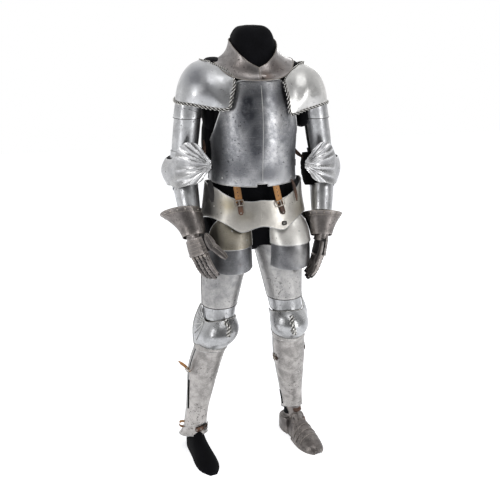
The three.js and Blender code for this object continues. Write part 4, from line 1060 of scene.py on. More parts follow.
class ARMOUR_OT_chest(bpy.types.Operator):
    """Finish the breastplate and backplate with their rolled edges, medial ridge and rivets"""
    bl_idname = "armour.chest"
    bl_label = "Breast and back"

    def execute(self, context):
        # Painted reflection: these patches lay the breastplate's dark tone where the room's dark reflection falls.
        dark = [(spot(-44, -130, 1300), (54, 70, 100), 1.0), (spot(-22, -140, 1200), (44, 70, 120), 0.95),
                (spot(-20, -130, 1350), (80, 70, 40), 0.8), (spot(-80, -110, 1110), (90, 80, 50), 0.7),
                (spot(60, -120, 1330), (60, 70, 50), 0.7), (spot(20, -140, 1090), (60, 70, 45), 0.8),
                (spot(104, -80, 1140), (36, 70, 130), 0.6)]
        # Painted shade down the breastplate's sides, and a little at its middle.
        painted_shade_spots = [(spot(-131, -60, 1190), (34, 80, 190), 0.9), (spot(-20, -140, 1240), (40, 80, 90), 0.3),
                (spot(140, -60, 1200), (28, 80, 160), 0.5)]
        dress("breastplate", "breast", levels=3, spots=dark, painted_shades=painted_shade_spots)
        dress("backplate", "breast", levels=3, spots=[(spot(0, 120, 1200), (120, 80, 160), 0.6)])
        edged("breastplate", radius=sizes().rim * 1.1)
        edged("backplate", radius=sizes().rim * 1.1)
        for name, finish, wide, depth, drift, pixels in (
                ("chest_strap_end", "umber", 0.013, -10, 4,
                 ((290.5, 140), (291.5, 145), (294.5, 150), (298.5, 154), (303, 157.5))),
                ("side_strap_end", "umber", 0.010, -99, -1,
                 ((291.5, 179), (293.5, 184), (295, 189), (296.2, 195), (297, 201))),
                ("side_strap_fall", "umber", 0.013, 0, 4,
                 ((203.5, 140), (204.5, 149), (206.5, 158), (208.5, 167), (210, 176))),
                ("waist_strap_end", "glove", 0.020, -58, -2.5,
                 ((210, 180), (210.5, 186), (211.2, 191), (211.7, 196), (212.3, 202)))):
            points = [facing(x, y, depth + drift * k) for k, (x, y) in enumerate(pixels)]
            strap(name, points, -FORWARD, finish, wide, 0.0026, 0.4)
        line = [cast(("breastplate",), spot(0, -400, 0) + Vector((0, 0, 1.372 - drop * 0.0033)),
                     Vector((0, 1, 0))) for drop in range(0, 96, 4)]
        bead("breast_ridge", [spaced([h[0] for h in line if h], 0.004)], 0.0011, "wire")
        rivets_at("breast_rivets", "breastplate", ((236, 181), (277, 180), (291, 176), (222, 178)), "wire")
        for side in SIDES:
            dress(f"side_strap_{side}", "umber", crease=40)
        return {"FINISHED"}


SHOULDER_STRAP = ((112, 18, 1462), (124, 18, 1461), (136, 18, 1458), (146, 18, 1452), (155, 17, 1444))


class ARMOUR_OT_gorget(bpy.types.Operator):
    """Finish the two halves of the gorget, its turning stud and the straps at its shoulders"""
    bl_idname = "armour.gorget"
    bl_label = "Gorget"

    def execute(self, context):
        rust = [(spot(22, -118, 1402), (34, 40, 26), 1.0), (spot(70, -90, 1430), (50, 50, 40), 0.5)]
        dress("gorget_right", "gorget", levels=3, spots=[(spot(-60, -90, 1430), (60, 60, 50), 0.35)])
        dress("gorget_left", "gorget", levels=3, spots=rust)
        for side in SIDES:
            edged(f"gorget_{side}", "brown_wire", radius=0.0015)
        dress("gorget_turn_stud", "brown", crease=30)
        pixels = (271, 68), (279, 70), (275, 76), (262, 75), (286, 62)
        rivets_at("gorget_left_rivets", "gorget_left", pixels, "brown_wire", 0.0028)
        pixels = (250, 75), (234, 66), (222, 55)
        rivets_at("gorget_right_rivets", "gorget_right", pixels, "brown_wire", 0.0024)
        self.neck()
        self.shoulder_straps()
        return {"FINISHED"}

    def neck(self):
        """The jersey neck, which fills the collar and keeps inside it."""
        piece = pad("neck", (0, 10, 1440), (74, 66, 110), 3.4, 0.9)
        for v in piece.data.vertices:
            heart = spot(0, 10, v.co.z / MM)
            way = v.co - heart
            if way.length > 0.004:
                hits = [skins[f"gorget_{side}"].ray_cast(heart, way.normalized(), way.length + 0.004)
                        for side in SIDES]
                near = min((h[3] for h in hits if h[0] is not None), default=1.0)
                if near < 1.0:
                    v.co = heart + way.normalized() * max(near - 0.003, 0.02)

    def shoulder_straps(self):
        """A strap and buckle from the gorget to each pauldron's top."""
        for side, sign in (("right", -1), ("left", 1)):
            starts = [spot(sign * x, y, z + 300) for x, y, z in SHOULDER_STRAP]
            tops = [cast((f"gorget_{side}",), start, Vector((0, 0, -1))) for start in starts]
            points = [top[0] + Vector((0, 0, 0.0035)) for top in tops if top]
            if len(points) > 2:
                out = Vector((sign * 0.25, 0, 1)).normalized()
                strap(f"shoulder_strap_{side}", points, out, "umber", 0.018)
                buckle(f"shoulder_buckle_{side}", points[len(points) // 2], out, points[-1] - points[0],
                       0.024, 0.018)


PAULDRON = (92, 96, 112)
PAULDRON_SHARES = (
    ((-1.1, 1.12, -0.2), (-0.5, 1.02, -0.3), (0.3, 0.78, -0.38), (0.56, 0.16, -0.42), (0.5, -0.4, -0.44),
     (0.1, -0.8, -0.46), (-0.6, -1.1, -0.56), (-1.2, -1.3, -0.64), (-1.3, -1.25, -0.28)),
    ((-1.1, 1.12, 0.06), (-0.45, 1.04, -0.02), (0.26, 0.78, -0.06), (0.46, 0.12, -0.06),
     (0.42, -0.42, -0.08), (0.08, -0.84, -0.1), (-0.5, -1.12, -0.16), (-1, -1.2, -0.24),
     (-1.34, -1.24, 0)),
    ((-0.98, 1, 0.28), (-0.4, 0.92, 0.24), (0.14, 0.68, 0.26), (0.28, 0.06, 0.3), (0.26, -0.38, 0.28),
     (0, -0.72, 0.22), (-0.44, -0.96, 0.18), (-0.92, -1, 0.16), (-1.32, -1, 0.3)),
    ((-0.8, 0.7, 0.46), (-0.42, 0.62, 0.5), (-0.08, 0.44, 0.54), (0, 0.02, 0.58), (-0.02, -0.26, 0.56),
     (-0.18, -0.5, 0.52), (-0.46, -0.66, 0.48), (-0.8, -0.7, 0.46), (-1.04, -0.68, 0.51)),
    ((-0.64, 0.34, 0.64), (-0.5, 0.28, 0.68), (-0.4, 0.18, 0.71), (-0.36, 0.02, 0.73),
     (-0.36, -0.12, 0.73), (-0.42, -0.24, 0.71), (-0.52, -0.32, 0.7), (-0.62, -0.34, 0.68),
     (-0.62, -0.34, 0.66)),
)


class ARMOUR_OT_pauldrons(bpy.types.Operator):
    """Build the pauldrons, with the heavy rope of their hems and the fine rope of their edges"""
    bl_idname = "armour.pauldrons"
    bl_label = "Pauldrons"

    def execute(self, context):
        stains = {"right": [(spot(-205, -70, 1400), (56, 66, 56), 0.95),
                            (spot(-165, -100, 1360), (44, 50, 50), 0.6)],
                  "left": [(spot(200, -40, 1400), (50, 60, 40), 0.25)]}
        for side, sign, shoulder, corner in (("right", 1, (-206, 2, 1364), 0.30),
                                             ("left", -1, (-206, 2, 1350), 0.18)):
            node, body = f"pauldron_{side}", BODY_OF[f"pauldron_{side}"]
            rails = [[spot(sign * (shoulder[0] - a * PAULDRON[0]), shoulder[1] + b * PAULDRON[1],
                           shoulder[2] + c * PAULDRON[2]) for a, b, c in rail] for rail in PAULDRON_SHARES]

            def surface(u, v):
                u = 1 - u if sign < 0 else u
                round_off = 0.0
                if u > 1 - corner:
                    t = (u - 1 + corner) / corner
                    round_off = 0.44 * (1 - math.sqrt(max(1 - t * t, 0)))
                return spline([spline(rail, u) for rail in rails], round_off + (1 - round_off) * v)

            piece = shell(f"{node}_plate", surface, 96, 40, 0.0018)
            patches(piece, stains[side])
            finish_plate(piece, node, "dome" if side == "right" else "dome_pale", body, sharp=50)
            front = 0.0 if sign < 0 else 1.0
            hem = [Vector(surface(i / 120, 0)) for i in range(121)]
            edges = [[Vector(surface(front, i / 50)) for i in range(51)],
                     [Vector(surface(1 - front, i / 50)) for i in range(51)],
                     [Vector(surface(i / 60, 1)) for i in range(61)]]
            rope(f"pauldron_hem_{side}", [spaced(hem, 0.003)], sizes().hem_rope, body, pitch=7.0,
                 groove=0.38)
            rope(f"pauldron_edge_{side}", [spaced(e, 0.003) for e in edges], sizes().fine_rope, body)
            places = []
            for k in range(8):
                u = (k + 0.5) / 8
                here = Vector(surface(u, 0.09))
                hit = skins[node].find_nearest(here)
                places.append((hit[0], hit[1] if hit[1].dot(here - spot(0, 0, 1300)) > 0 else -hit[1]))
            rivets(f"pauldron_rivets_{side}", places, "wire", 0.0022, body=body)
        return {"FINISHED"}


class ARMOUR_OT_arm_plates(bpy.types.Operator):
    """Finish the lames and cannons of the arms"""
    bl_idname = "armour.arm_plates"
    bl_label = "Arm plates"

    def execute(self, context):
        for side in SIDES:
            for part in ("arm_lame", "upper_cannon", "elbow_lame_upper", "elbow_lame_lower",
                         "lower_cannon"):
                dress(f"{part}_{side}", "polished", levels=3)
            # The dark edges of the arm lame and the upper cannon are painted shadow in the gaps between the lames.
            edged(f"arm_lame_{side}", "dark", radius=0.0012, slot="bright_steel")
            edged(f"upper_cannon_{side}", "dark", radius=0.001, slot="bright_steel")
            edged(f"elbow_lame_upper_{side}", radius=0.0008)
            edged(f"lower_cannon_{side}", radius=0.0013)
            places = []
            for part in ("arm_lame", "upper_cannon"):
                places += hem_places(f"{part}_{side}", 0.008, 4)
            rivets(f"arm_rivets_{side}", places, "wire", 0.0022)
        # A dark bead along the border of the right arm lame, as painted shadow.
        pixels = (173.4, 107), (178, 107.4), (184, 108.2), (190, 109.6), (195, 111.4), (198.6, 113.2)
        line = [first_seen(("arm_lame_right", "upper_cannon_right"), *pixel) for pixel in pixels]
        bead("arm_shadow_line_right", [[h[0] for h in line if h]], 0.001, "dark", slot="bright_steel")
        return {"FINISHED"}


FAN = (
    (-85, .617, .42, -.5, 0, 0), (-45, .84, .54, -.68, .12, 0), (0, 1.04, .55, -.84, .32, 0),
    (45, .9, .54, -.66, .16, 0), (75, .78, .54, -.58, .04, .02), (97, .82, .62, -.57, .02, .08),
    (116, .97, .92, -.54, 0, .14), (131, 1.12, 1.26, -.47, 0, .14), (146, 1.34, 1.4, -.36, 0, .08),
    (158, 1.56, 1.3, -.26, 0, 0), (166, 1.7, .98, 0, 0, 0), (173, 1.84, .62, .32, 0, 0),
)
REACH = 0.076
FAN_FROM, FAN_TO = FAN[0][0], FAN[-1][0]
FAN_WEDGE, FAN_EDGE = 10.0, 80.0
FAN_TIP = REACH * 0.47
FLUTES_FROM, FLUTES_FULL = 104, 124
POINT_FROM = 166
SCALLOP = 0.0034


def fan_axes(side):
    """The ways from the elbow out to the couter's back and to its fan."""
    sign, turn = (1, math.radians(130)) if side == "right" else (-1, math.radians(140))
    return (Vector((sign * math.cos(turn), math.sin(turn), 0)),
            Vector((-sign * math.sin(turn), math.cos(turn), 0)))


def fan_rows():
    """How far back along the couter each angle lies from the tip of its fan."""
    angles = np.linspace(FAN_FROM, FAN_TO, 500)
    places = np.array([between(FAN, a)[1] * REACH
                       * np.array((math.cos(math.radians(a)), math.sin(math.radians(a)))) for a in angles])
    steps = np.linalg.norm(np.diff(places, axis=0), axis=1)
    return angles, np.concatenate([np.cumsum(steps[::-1])[::-1], [0]])


def flute(phi):
    """The crest and the wave of the flutes at an angle about the fan's tip."""
    if abs(phi) < FAN_WEDGE:
        return 0.0, 0.0
    count = sizes().flutes_above if phi > 0 else sizes().flutes_below
    share = (abs(phi) - FAN_WEDGE) / (FAN_EDGE - FAN_WEDGE)
    wave = abs(math.sin(math.pi * min(share, 1) * count))
    return (1 - wave) ** 1.6, wave


def fan_place(rows, angle, v):
    """How far out and how high the couter's sheet stands at an angle and a share of its height."""
    _, out, high, low, sag, flare = between(FAN, angle)
    far = float(np.interp(angle, *rows))
    z = REACH * (low + (high - low) * v)
    phi = math.degrees(math.atan2(z - FAN_TIP, far + 0.002))
    fan = smooth(angle, FLUTES_FROM, FLUTES_FULL)
    crest, wave = flute(phi)
    side = 2 * v - 1
    if angle < POINT_FROM:
        z += math.copysign(SCALLOP * wave * fan * smooth(abs(side), 0.72, 1.0), side)
    radius = REACH * (out - sag * side * side + flare * min(side, 0) ** 2)
    ridge = math.exp(-((abs(phi) - FAN_WEDGE) / 2.6) ** 2) * 0.6
    depth = sizes().flute * fan * smooth(math.hypot(far, z - FAN_TIP), 0.002, 0.03)
    radius += depth * (max(crest, ridge) - 0.35)
    radius += 0.004 * math.exp(-((angle - 8) / 26) ** 2 - ((side - 0.05) / 0.5) ** 2)
    return radius, z


class ARMOUR_OT_couters(bpy.types.Operator):
    """Build the elbows' couters with their pointed cops and fluted, scalloped fans"""
    bl_idname = "armour.couters"
    bl_label = "Couters"

    def execute(self, context):
        rows = fan_rows()
        for side in SIDES:
            origin = Vector(joint(f"couter_{side}")["pos_m"])
            out_axis, wing_axis = fan_axes(side)

            def surface(u, v):
                angle = FAN_FROM + (FAN_TO - FAN_FROM) * ((1 - u) if side == "left" else u)
                radius, z = fan_place(rows, angle, v)
                turn = math.radians(angle)
                return origin + out_axis * (radius * math.cos(turn)) \
                    + wing_axis * (radius * math.sin(turn)) + Vector((0, 0, z))

            piece = shell(f"couter_{side}_plate", surface, 190, 84, 0.0018)
            node, body = f"couter_{side}", f"couter_{side}"
            tan_tone = [(origin + out_axis * 0.06 - Vector((0, 0, 0.035)), 32, 0.4)] if side == "right" \
                else [(origin + out_axis * 0.07, 30, 0.55)]
            patches(piece, tan_tone)
            finish_plate(piece, node, "couter", body, sharp=50)
            share = (164 - FAN_FROM) / (FAN_TO - FAN_FROM)
            edge_path = [Vector(surface(share * i / 90 if side == "right" else 1 - share * i / 90, 0))
                         for i in range(91)]
            bead(f"couter_lower_edge_{side}", [edge_path], 0.0014, "wire", body=body)
            place = Vector(surface(0.998 if side == "right" else 0.002, 0.5))
            rivets(f"couter_tip_{side}", [(place, out_axis * -1)], "wire", 0.0046, body=body, height=0.9)
            places = []
            for angle in (-60, 62):
                u = (angle - FAN_FROM) / (FAN_TO - FAN_FROM)
                u = u if side == "right" else 1 - u
                here = Vector(surface(u, 0.5))
                places.append((here, (here - origin - Vector((0, 0, here.z - origin.z))).normalized()))
            rivets(f"couter_rivets_{side}", places, "wire", 0.003, body=body)
        return {"FINISHED"}


def hand_axes(side):
    """The hand's frame: its wrist, its knuckles and the ways to the thumb, the palm and the wrist."""
    wrist, knuckle = (Vector(joint(f"{j}_{side}")["pos_m"]) for j in ("wrist", "fingers"))
    z = (wrist - knuckle).normalized()
    sign = 1 if side == "right" else -1
    x = Vector(joint(f"wrist_{side}")["axis"]).normalized() * sign
    y = z.cross(x) * sign
    return wrist, knuckle, x, y, z


FINGER_LENGTHS = (80, 88, 82, 68)
FINGER_WIDE = 19.6
CUFF_RIVETS = 16


class ARMOUR_OT_gauntlets(bpy.types.Operator):
    """Finish the gauntlets: flared cuffs with riveted borders, lamed hands, scaled fingers and thumbs"""
    bl_idname = "armour.gauntlets"
    bl_label = "Gauntlets"

    def execute(self, context):
        for side in SIDES:
            self.cuff(side)
            self.hand(side)
            self.fingers(side)
            dress(f"thumb_plate_{side}", "brown", crease=30, levels=3)
        self.web()
        root = (205.5, 233.5), (207.6, 238), (210.4, 243), (212.6, 247), (214, 249.5)
        tip = (212.5, 246.5), (215.5, 249), (219.5, 252.2), (223.5, 255.6), (226.8, 258.6)
        self.thumb("thumb_root_right", root, (4, 12, 15, 14, 9), 0.0)
        self.thumb("thumb_tip_right", tip, (6, 12, 12, 11, 6), 0.003)
        return {"FINISHED"}

    def web(self):
        """The glove's leather between the right thumb and the hand."""
        far = (seen("thumb_plate_right", 208, 240)[0] - EYE).length + 0.012
        pixels = (201.5, 234), (203.6, 239), (205.8, 245), (208.5, 251)
        path = [EYE + pixel_ray(x, y) * far for x, y in pixels]
        bead("thumb_web_right", [spaced(path, 0.004)], 0.0105, "glove", body="hand_right")

    def thumb(self, name, pixels, halves, lift):
        """A faceted plate of the right thumb, with its ridge towards the fingers' far side."""
        ends = [(seen("thumb_plate_right", *p)[0] - EYE).length for p in ((208, 240), (226, 257.5))]
        section = ((-1, 0.0), (-0.5, 0.62), (0.35, 0.8), (1, 0.0), (0.4, -0.8), (-0.5, -0.7))
        path = [EYE + pixel_ray(x, y) * (ends[0] + (ends[1] - ends[0]) * (x - 208) / 18 - 0.004 - lift)
                for x, y in pixels]
        rings = []
        for p, way, half in zip(path, steps_along(path), halves):
            aside = way.cross(-FORWARD).normalized()
            out = aside.cross(way)
            high = 0.0075 * (0.45 + half / 30)
            rings += [p - aside * (half * MM * x) + out * (high * y) for x, y in section]
        wide = len(section)
        faces, cap = tube_faces(wide, len(path))
        faces += [tuple(range(wide)), cap]
        # Beads of lighter steel along the ridge lines, as a painted highlight on the thumb plate's edges.
        lines = [[rings[k * wide + i] for k in range(len(path))] for i in (2, 3)]
        bead(f"{name}_ridges", lines, 0.0012, "brown_wire", body=BODY_OF["thumb_plate_right"])
        piece = outward(add_object(name, mesh_of(name, rings, faces)))
        finish_trim(piece, "brown", BODY_OF["thumb_plate_right"], 24)

    def cuff(self, side):
        """The cuff with its rolled edges, the line under its rim and its border of rivets."""
        node, body = f"gauntlet_cuff_{side}", f"forearm_{side}"
        dress(node, "brown", levels=3)
        loops = sorted(rims(pieces[node]), key=lambda l: -sum(p.z for p in l[0]) / len(l[0]))
        rim = (loops[0][0] + loops[0][0][:1], loops[0][1] + loops[0][1][:1])
        lower = loops[-1][0] + loops[-1][0][:1]
        bead(f"cuff_edges_{side}", [rim[0]], 0.0017, "brown_wire", body=body)
        if side == "right":
            bead(f"cuff_lower_edge_{side}", [lower], 0.0009, "brown_wire", body=body)
        middle = sum(rim[0], Vector()) / len(rim[0])
        down = (Vector(joint(f"wrist_{side}")["pos_m"]) - middle).normalized()
        nearest = skins[node].find_nearest
        line = [nearest(p + down * 0.017 - n * 0.001)[0] + n * 0.0004 for p, n in zip(*rim)]
        bead(f"cuff_lines_{side}", [line[:-1] + [line[0]]], 0.0011, "brown_wire", body=body)
        steps = [int(k * (len(rim[0]) - 1) / CUFF_RIVETS) for k in range(CUFF_RIVETS)]
        places = [(nearest(rim[0][i] + down * 0.0085)[0], rim[1][i]) for i in steps]
        rivets(f"cuff_rivets_{side}", places, "buckle", 0.0031, body=body, slot="dark_steel")

    def hand(self, side):
        """The back of the hand, the lines of its lames and the lames round the wrist."""
        node, body = f"hand_plate_{side}", f"hand_{side}"
        dress(node, "brown", levels=3, crease=20)
        wrist, knuckle, x, y, z = hand_axes(side)
        long = (wrist - knuckle).length
        lines = []
        for share in (0.2, 0.36, 0.52, 0.68, 0.84):
            line = []
            for k in range(25):
                turn = math.radians(-80 + 160 * k / 24)
                way = x * math.sin(turn) * 1.9 - y * math.cos(turn)
                origin = wrist - z * (long * share) + way.normalized() * 0.08
                hit = cast((node,), origin, -way.normalized(), 0.078)
                if hit:
                    line.append(hit[0] + way.normalized() * 0.0003)
            if len(line) > 8:
                lines.append(line)
        bead(f"hand_lames_{side}", lines, 0.0013, "brown_wire", body=body)

        def surface(u, v):
            turn = math.tau * u
            step = 0.0012 * (1 - (v * 3) % 1)
            return wrist + z * (-0.020 + 0.040 * v) + x * (math.cos(turn) * (0.0292 + step)) \
                + y * (math.sin(turn) * (0.0215 + step))

        piece = outward(shell(f"wrist_lames_{side}", surface, 48, 24, 0.001, closed=True))
        finish_trim(piece, "brown", body, 40)

    def fingers(self, side):
        """The finger plates with their scales, the fingertips, the dark gaps and the knuckles."""
        node, body = f"finger_plates_{side}", f"fingers_{side}"
        _, knuckle, x, y, z = hand_axes(side)
        dress(node, "brown", crease=30, levels=3, spots=[(knuckle - z * 0.078 + y * 0.03, 20, 1.0)])
        places, outs, ways, tips, gaps = [], [], [], [], []
        for i, long in enumerate(FINGER_LENGTHS):
            gap = []
            at = knuckle + x * (FINGER_WIDE * (1.5 - i) * MM)
            shares, bends, last = (0.48, 0.78, 1.0), (0.4, 1.1, 2.1), 0.0
            for share, bend in zip(shares, bends):
                turn = math.radians(16 * bend)
                way = y * math.sin(turn) - z * math.cos(turn)
                out = -y * math.cos(turn) - z * math.sin(turn)
                step = (share - last) * long * MM
                count = 3 if share < 0.5 else 2
                for k in range(count):
                    t = (k + 0.55) / count
                    size = 1 - 0.42 * (last + (share - last) * t)
                    places.append(at + way * (step * t) + out * (0.0073 * size + 0.0008))
                    outs.append(out)
                    ways.append(way)
                    gap.append(places[-1] - x * (FINGER_WIDE / 2 * MM) - out * 0.0015 * size)
                at = at + way * step
                last = share
            tips.append([at - way * 0.006, at + way * 0.003])
            gaps.append(gap)
        grown(f"finger_scales_{side}", "scales", points_mesh("scales", places, out=outs, way=ways),
              "brown", body, Wide=0.0072, Long=0.0076)
        bead(f"finger_tips_{side}", tips, 0.0052, "glove", body=body)
        bead(f"finger_gaps_{side}", gaps[:3], 0.0026, "glove", body=body)
        places = [(knuckle + x * (FINGER_WIDE * (1.5 - i) * MM) - y * 0.0078 + z * 0.001, -y)
                  for i in range(4)]
        rivets(f"knuckles_{side}", places, "brown_wire", 0.0082, body=body, height=0.45)


class ARMOUR_OT_skirt(bpy.types.Operator):
    """Finish the skirt plates, and hang them by their straps and buckles"""
    bl_idname = "armour.skirt"
    bl_label = "Skirt"

    def execute(self, context):
        stains = [(spot(-105, -100, 985), (42, 60, 34), 0.7), (spot(-60, -130, 950), (40, 60, 26), 0.35),
                  (spot(140, -70, 950), (40, 60, 50), 0.6)]
        # Painted shade on the fauld's right side.
        painted_shade_spots = [(spot(-178, -30, 975), (52, 300, 300), 1.0)]
        dress("fauld", "ivory", levels=3, spots=stains, painted_shades=painted_shade_spots)
        dress("culet", "blued", levels=3)
        edged("fauld", radius=0.0014)
        edged("culet", "brown_wire", radius=0.0014, slot="grey_steel")
        pixels = (214, 206), (221, 212), (262, 218), (283, 212), (228, 192), (295, 203)
        rivets_at("skirt_rivets", "fauld", pixels, "ivory_rivet", 0.0026)
        columns = {"right": ((236, 181), (239.5, 203), (241.5, 215)),
                   "left": ((276.5, 180), (279.5, 203), (283, 214))}
        for side in SIDES:
            self.hanging(side, *columns[side])
        ridge = [seen("fauld", 261.3, y)[0] for y in range(203, 228, 2)]
        bead("skirt_ridge", [ridge], 0.0008, "ivory")
        at, out = seen("fauld", 284.3, 223)
        buckle("skirt_clip_left", at, out, Vector((0, 0, 1)), 0.014, 0.011, "dark")
        return {"FINISHED"}

    def hanging(self, side, top, middle, foot):
        """One hanging strap: its tan top with holes, its buckle and its brown tab."""
        start, way = seen("breastplate", *top)
        catch, out = seen("fauld", *middle)
        points = [start - way * 0.006, start - way * 0.005 - Vector((0, 0, 0.016))]
        points += [points[1].lerp(catch + out * 0.0035, t) for t in (0.2, 0.4, 0.6, 0.8, 1.0)]
        lying = out.lerp(way, 0.3).normalized()
        piece = strap(f"skirt_strap_{side}", points, lying, "tan", 0.0235, 0.0026, 0.0)
        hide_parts(f"fauld_strap_{side}")
        line = []
        for k in range(8):
            t = k / 7
            hit, normal = seen("fauld", middle[0] + (foot[0] - middle[0]) * t,
                               middle[1] - 2 + (foot[1] - middle[1] + 2) * t)
            line.append((hit + normal * 0.0055, normal))
        strap(f"skirt_tab_{side}", [p for p, n in line], [n for p, n in line], "umber", 0.0175, 0.003, 0.5)
        along = points[-1] - points[1]
        buckle(f"skirt_buckle_{side}", points[-1] + out * 0.003, out, along, 0.028, 0.017, thick=0.0019)
        holes = [(points[k] + lying * 0.0014, lying) for k in (2, 3, 4)]
        rivets(f"strap_holes_{side}", holes, "umber", 0.0022, height=0.25)
        rivets(f"tab_rivet_{side}", [(line[-2][0] + line[-2][1] * 0.0016, line[-2][1])], "brown_wire",
               0.003, slot="bright_steel")


class ARMOUR_OT_tassets(bpy.types.Operator):
    """Finish the tassets with their rivets and rolled hems"""
    bl_idname = "armour.tassets"
    bl_label = "Tassets"

    def execute(self, context):
        tones = {"right": ("gold", "blued"), "left": ("ivory_pale", "blued")}
        # Painted shade on parts of the tassets, mostly on the right.
        painted_shades = {"right": ([(spot(-164, -90, 880), (46, 300, 300), 1.0)],
                            [(spot(-138, -95, 790), (70, 90, 90), 0.8)]),
                  "left": ([], [(spot(50, -95, 790), (24, 80, 90), 0.4)])}
        stains = {"right": [(spot(-70, -150, 862), (40, 60, 26), 0.7)],
                  "left": [(spot(90, -150, 900), 30, 0.2)]}
        pixels = {"right": ((213, 222), (232, 231), (247, 240)),
                  "left": ((267, 239), (301, 250), (299, 231))}
        for side in SIDES:
            upper, lower = tones[side]
            dress(f"tasset_upper_{side}", upper, levels=3, spots=stains[side],
                  painted_shades=painted_shades[side][0])
            dress(f"tasset_lower_{side}", lower, levels=3, painted_shades=painted_shades[side][1],
                  spots=[(spot(140, -150, 800), (50, 60, 50), 0.8)] if side == "left" else [])
            edged(f"tasset_upper_{side}", radius=0.0013)
            if side == "right":
                edged(f"tasset_lower_{side}", radius=0.0007, slot="grey_steel")
            rivets_at(f"tasset_rivets_{side}", f"tasset_upper_{side}", pixels[side], "wire", 0.0028,
                      f"tasset_{side}")
        return {"FINISHED"}


class ARMOUR_OT_knees(bpy.types.Operator):
    """Finish the thigh plates and the knees with their twisted ridges and fluted wings"""
    bl_idname = "armour.knees"
    bl_label = "Thighs and knees"

    def execute(self, context):
        columns = {"right": ((230.5, 308), (230, 317), (229.5, 327), (228, 337)),
                   "left": ((291.5, 316), (292.5, 325), (294.5, 334), (295, 344))}
        for side in SIDES:
            dress(f"cuisse_{side}", "cuisse", levels=3)
            dress(f"knee_lame_upper_{side}", "polished", levels=3)
            dress(f"knee_lame_lower_{side}", "greave", levels=3)
            node = f"poleyn_{side}"
            dress(node, "knee", levels=3)
            # The dark edges of the cuisse and the upper knee lame are painted shadow in the gaps under them.
            edged(f"cuisse_{side}", "dark", radius=0.0015, slot="bright_steel")
            edged(f"knee_lame_upper_{side}", "dark", radius=0.0013, slot="bright_steel")
            edged(f"knee_lame_lower_{side}", radius=0.0011)
            loop = rims(pieces[node])[0]
            rope(f"knee_rim_{side}", [spaced(loop[0] + loop[0][:1], 0.003)], 0.0021, pitch=5.5)
            path = [seen(node, *p) for p in columns[side]]
            line = [p + n * 0.0006 for p, n in path]
            rope(f"knee_ridge_{side}", [spaced(self.curved(line, node), 0.003)], sizes().knee_rope,
                 pitch=4.4, groove=0.30)
            rivets(f"thigh_rivets_{side}", hem_places(f"cuisse_{side}", 0.009, 5), "wire", 0.0026)
        self.wing()
        return {"FINISHED"}

    def wing(self):
        """The ridges of the right knee's wing, with dark beads below them as painted shadow in its hollows."""
        ridges, groove_shadows = [], []
        for x, y in ((199, 305), (196.5, 310), (195, 316.5), (194.4, 324), (194.8, 332), (196.4, 339)):
            line = [first_seen(("poleyn_right",), 203.5 + (x - 203.5) * k / 9, 323 + (y - 323) * k / 9)
                    for k in range(10)]
            line = [h for h in line if h]
            if len(line) > 3:
                ridges.append([p + out * 0.0008 for p, out in line])
                groove_shadows.append([p - Vector((0, 0, 0.0042)) for p, out in line])
        bead("knee_wing_ridges", ridges, 0.002, "wire")
        bead("knee_wing_groove_shadows", groove_shadows, 0.0014, "dark", slot="bright_steel")

    def curved(self, line, node):
        """A path through places that keeps to the plate between them."""
        path = []
        for a, b in zip(line, line[1:]):
            for k in range(6):
                p = a.lerp(b, k / 6)
                hit = skins[node].find_nearest(p)
                path.append(hit[0] if hit[0] is not None else p)
        return path + [line[-1]]


FOOT_STEPS = 72


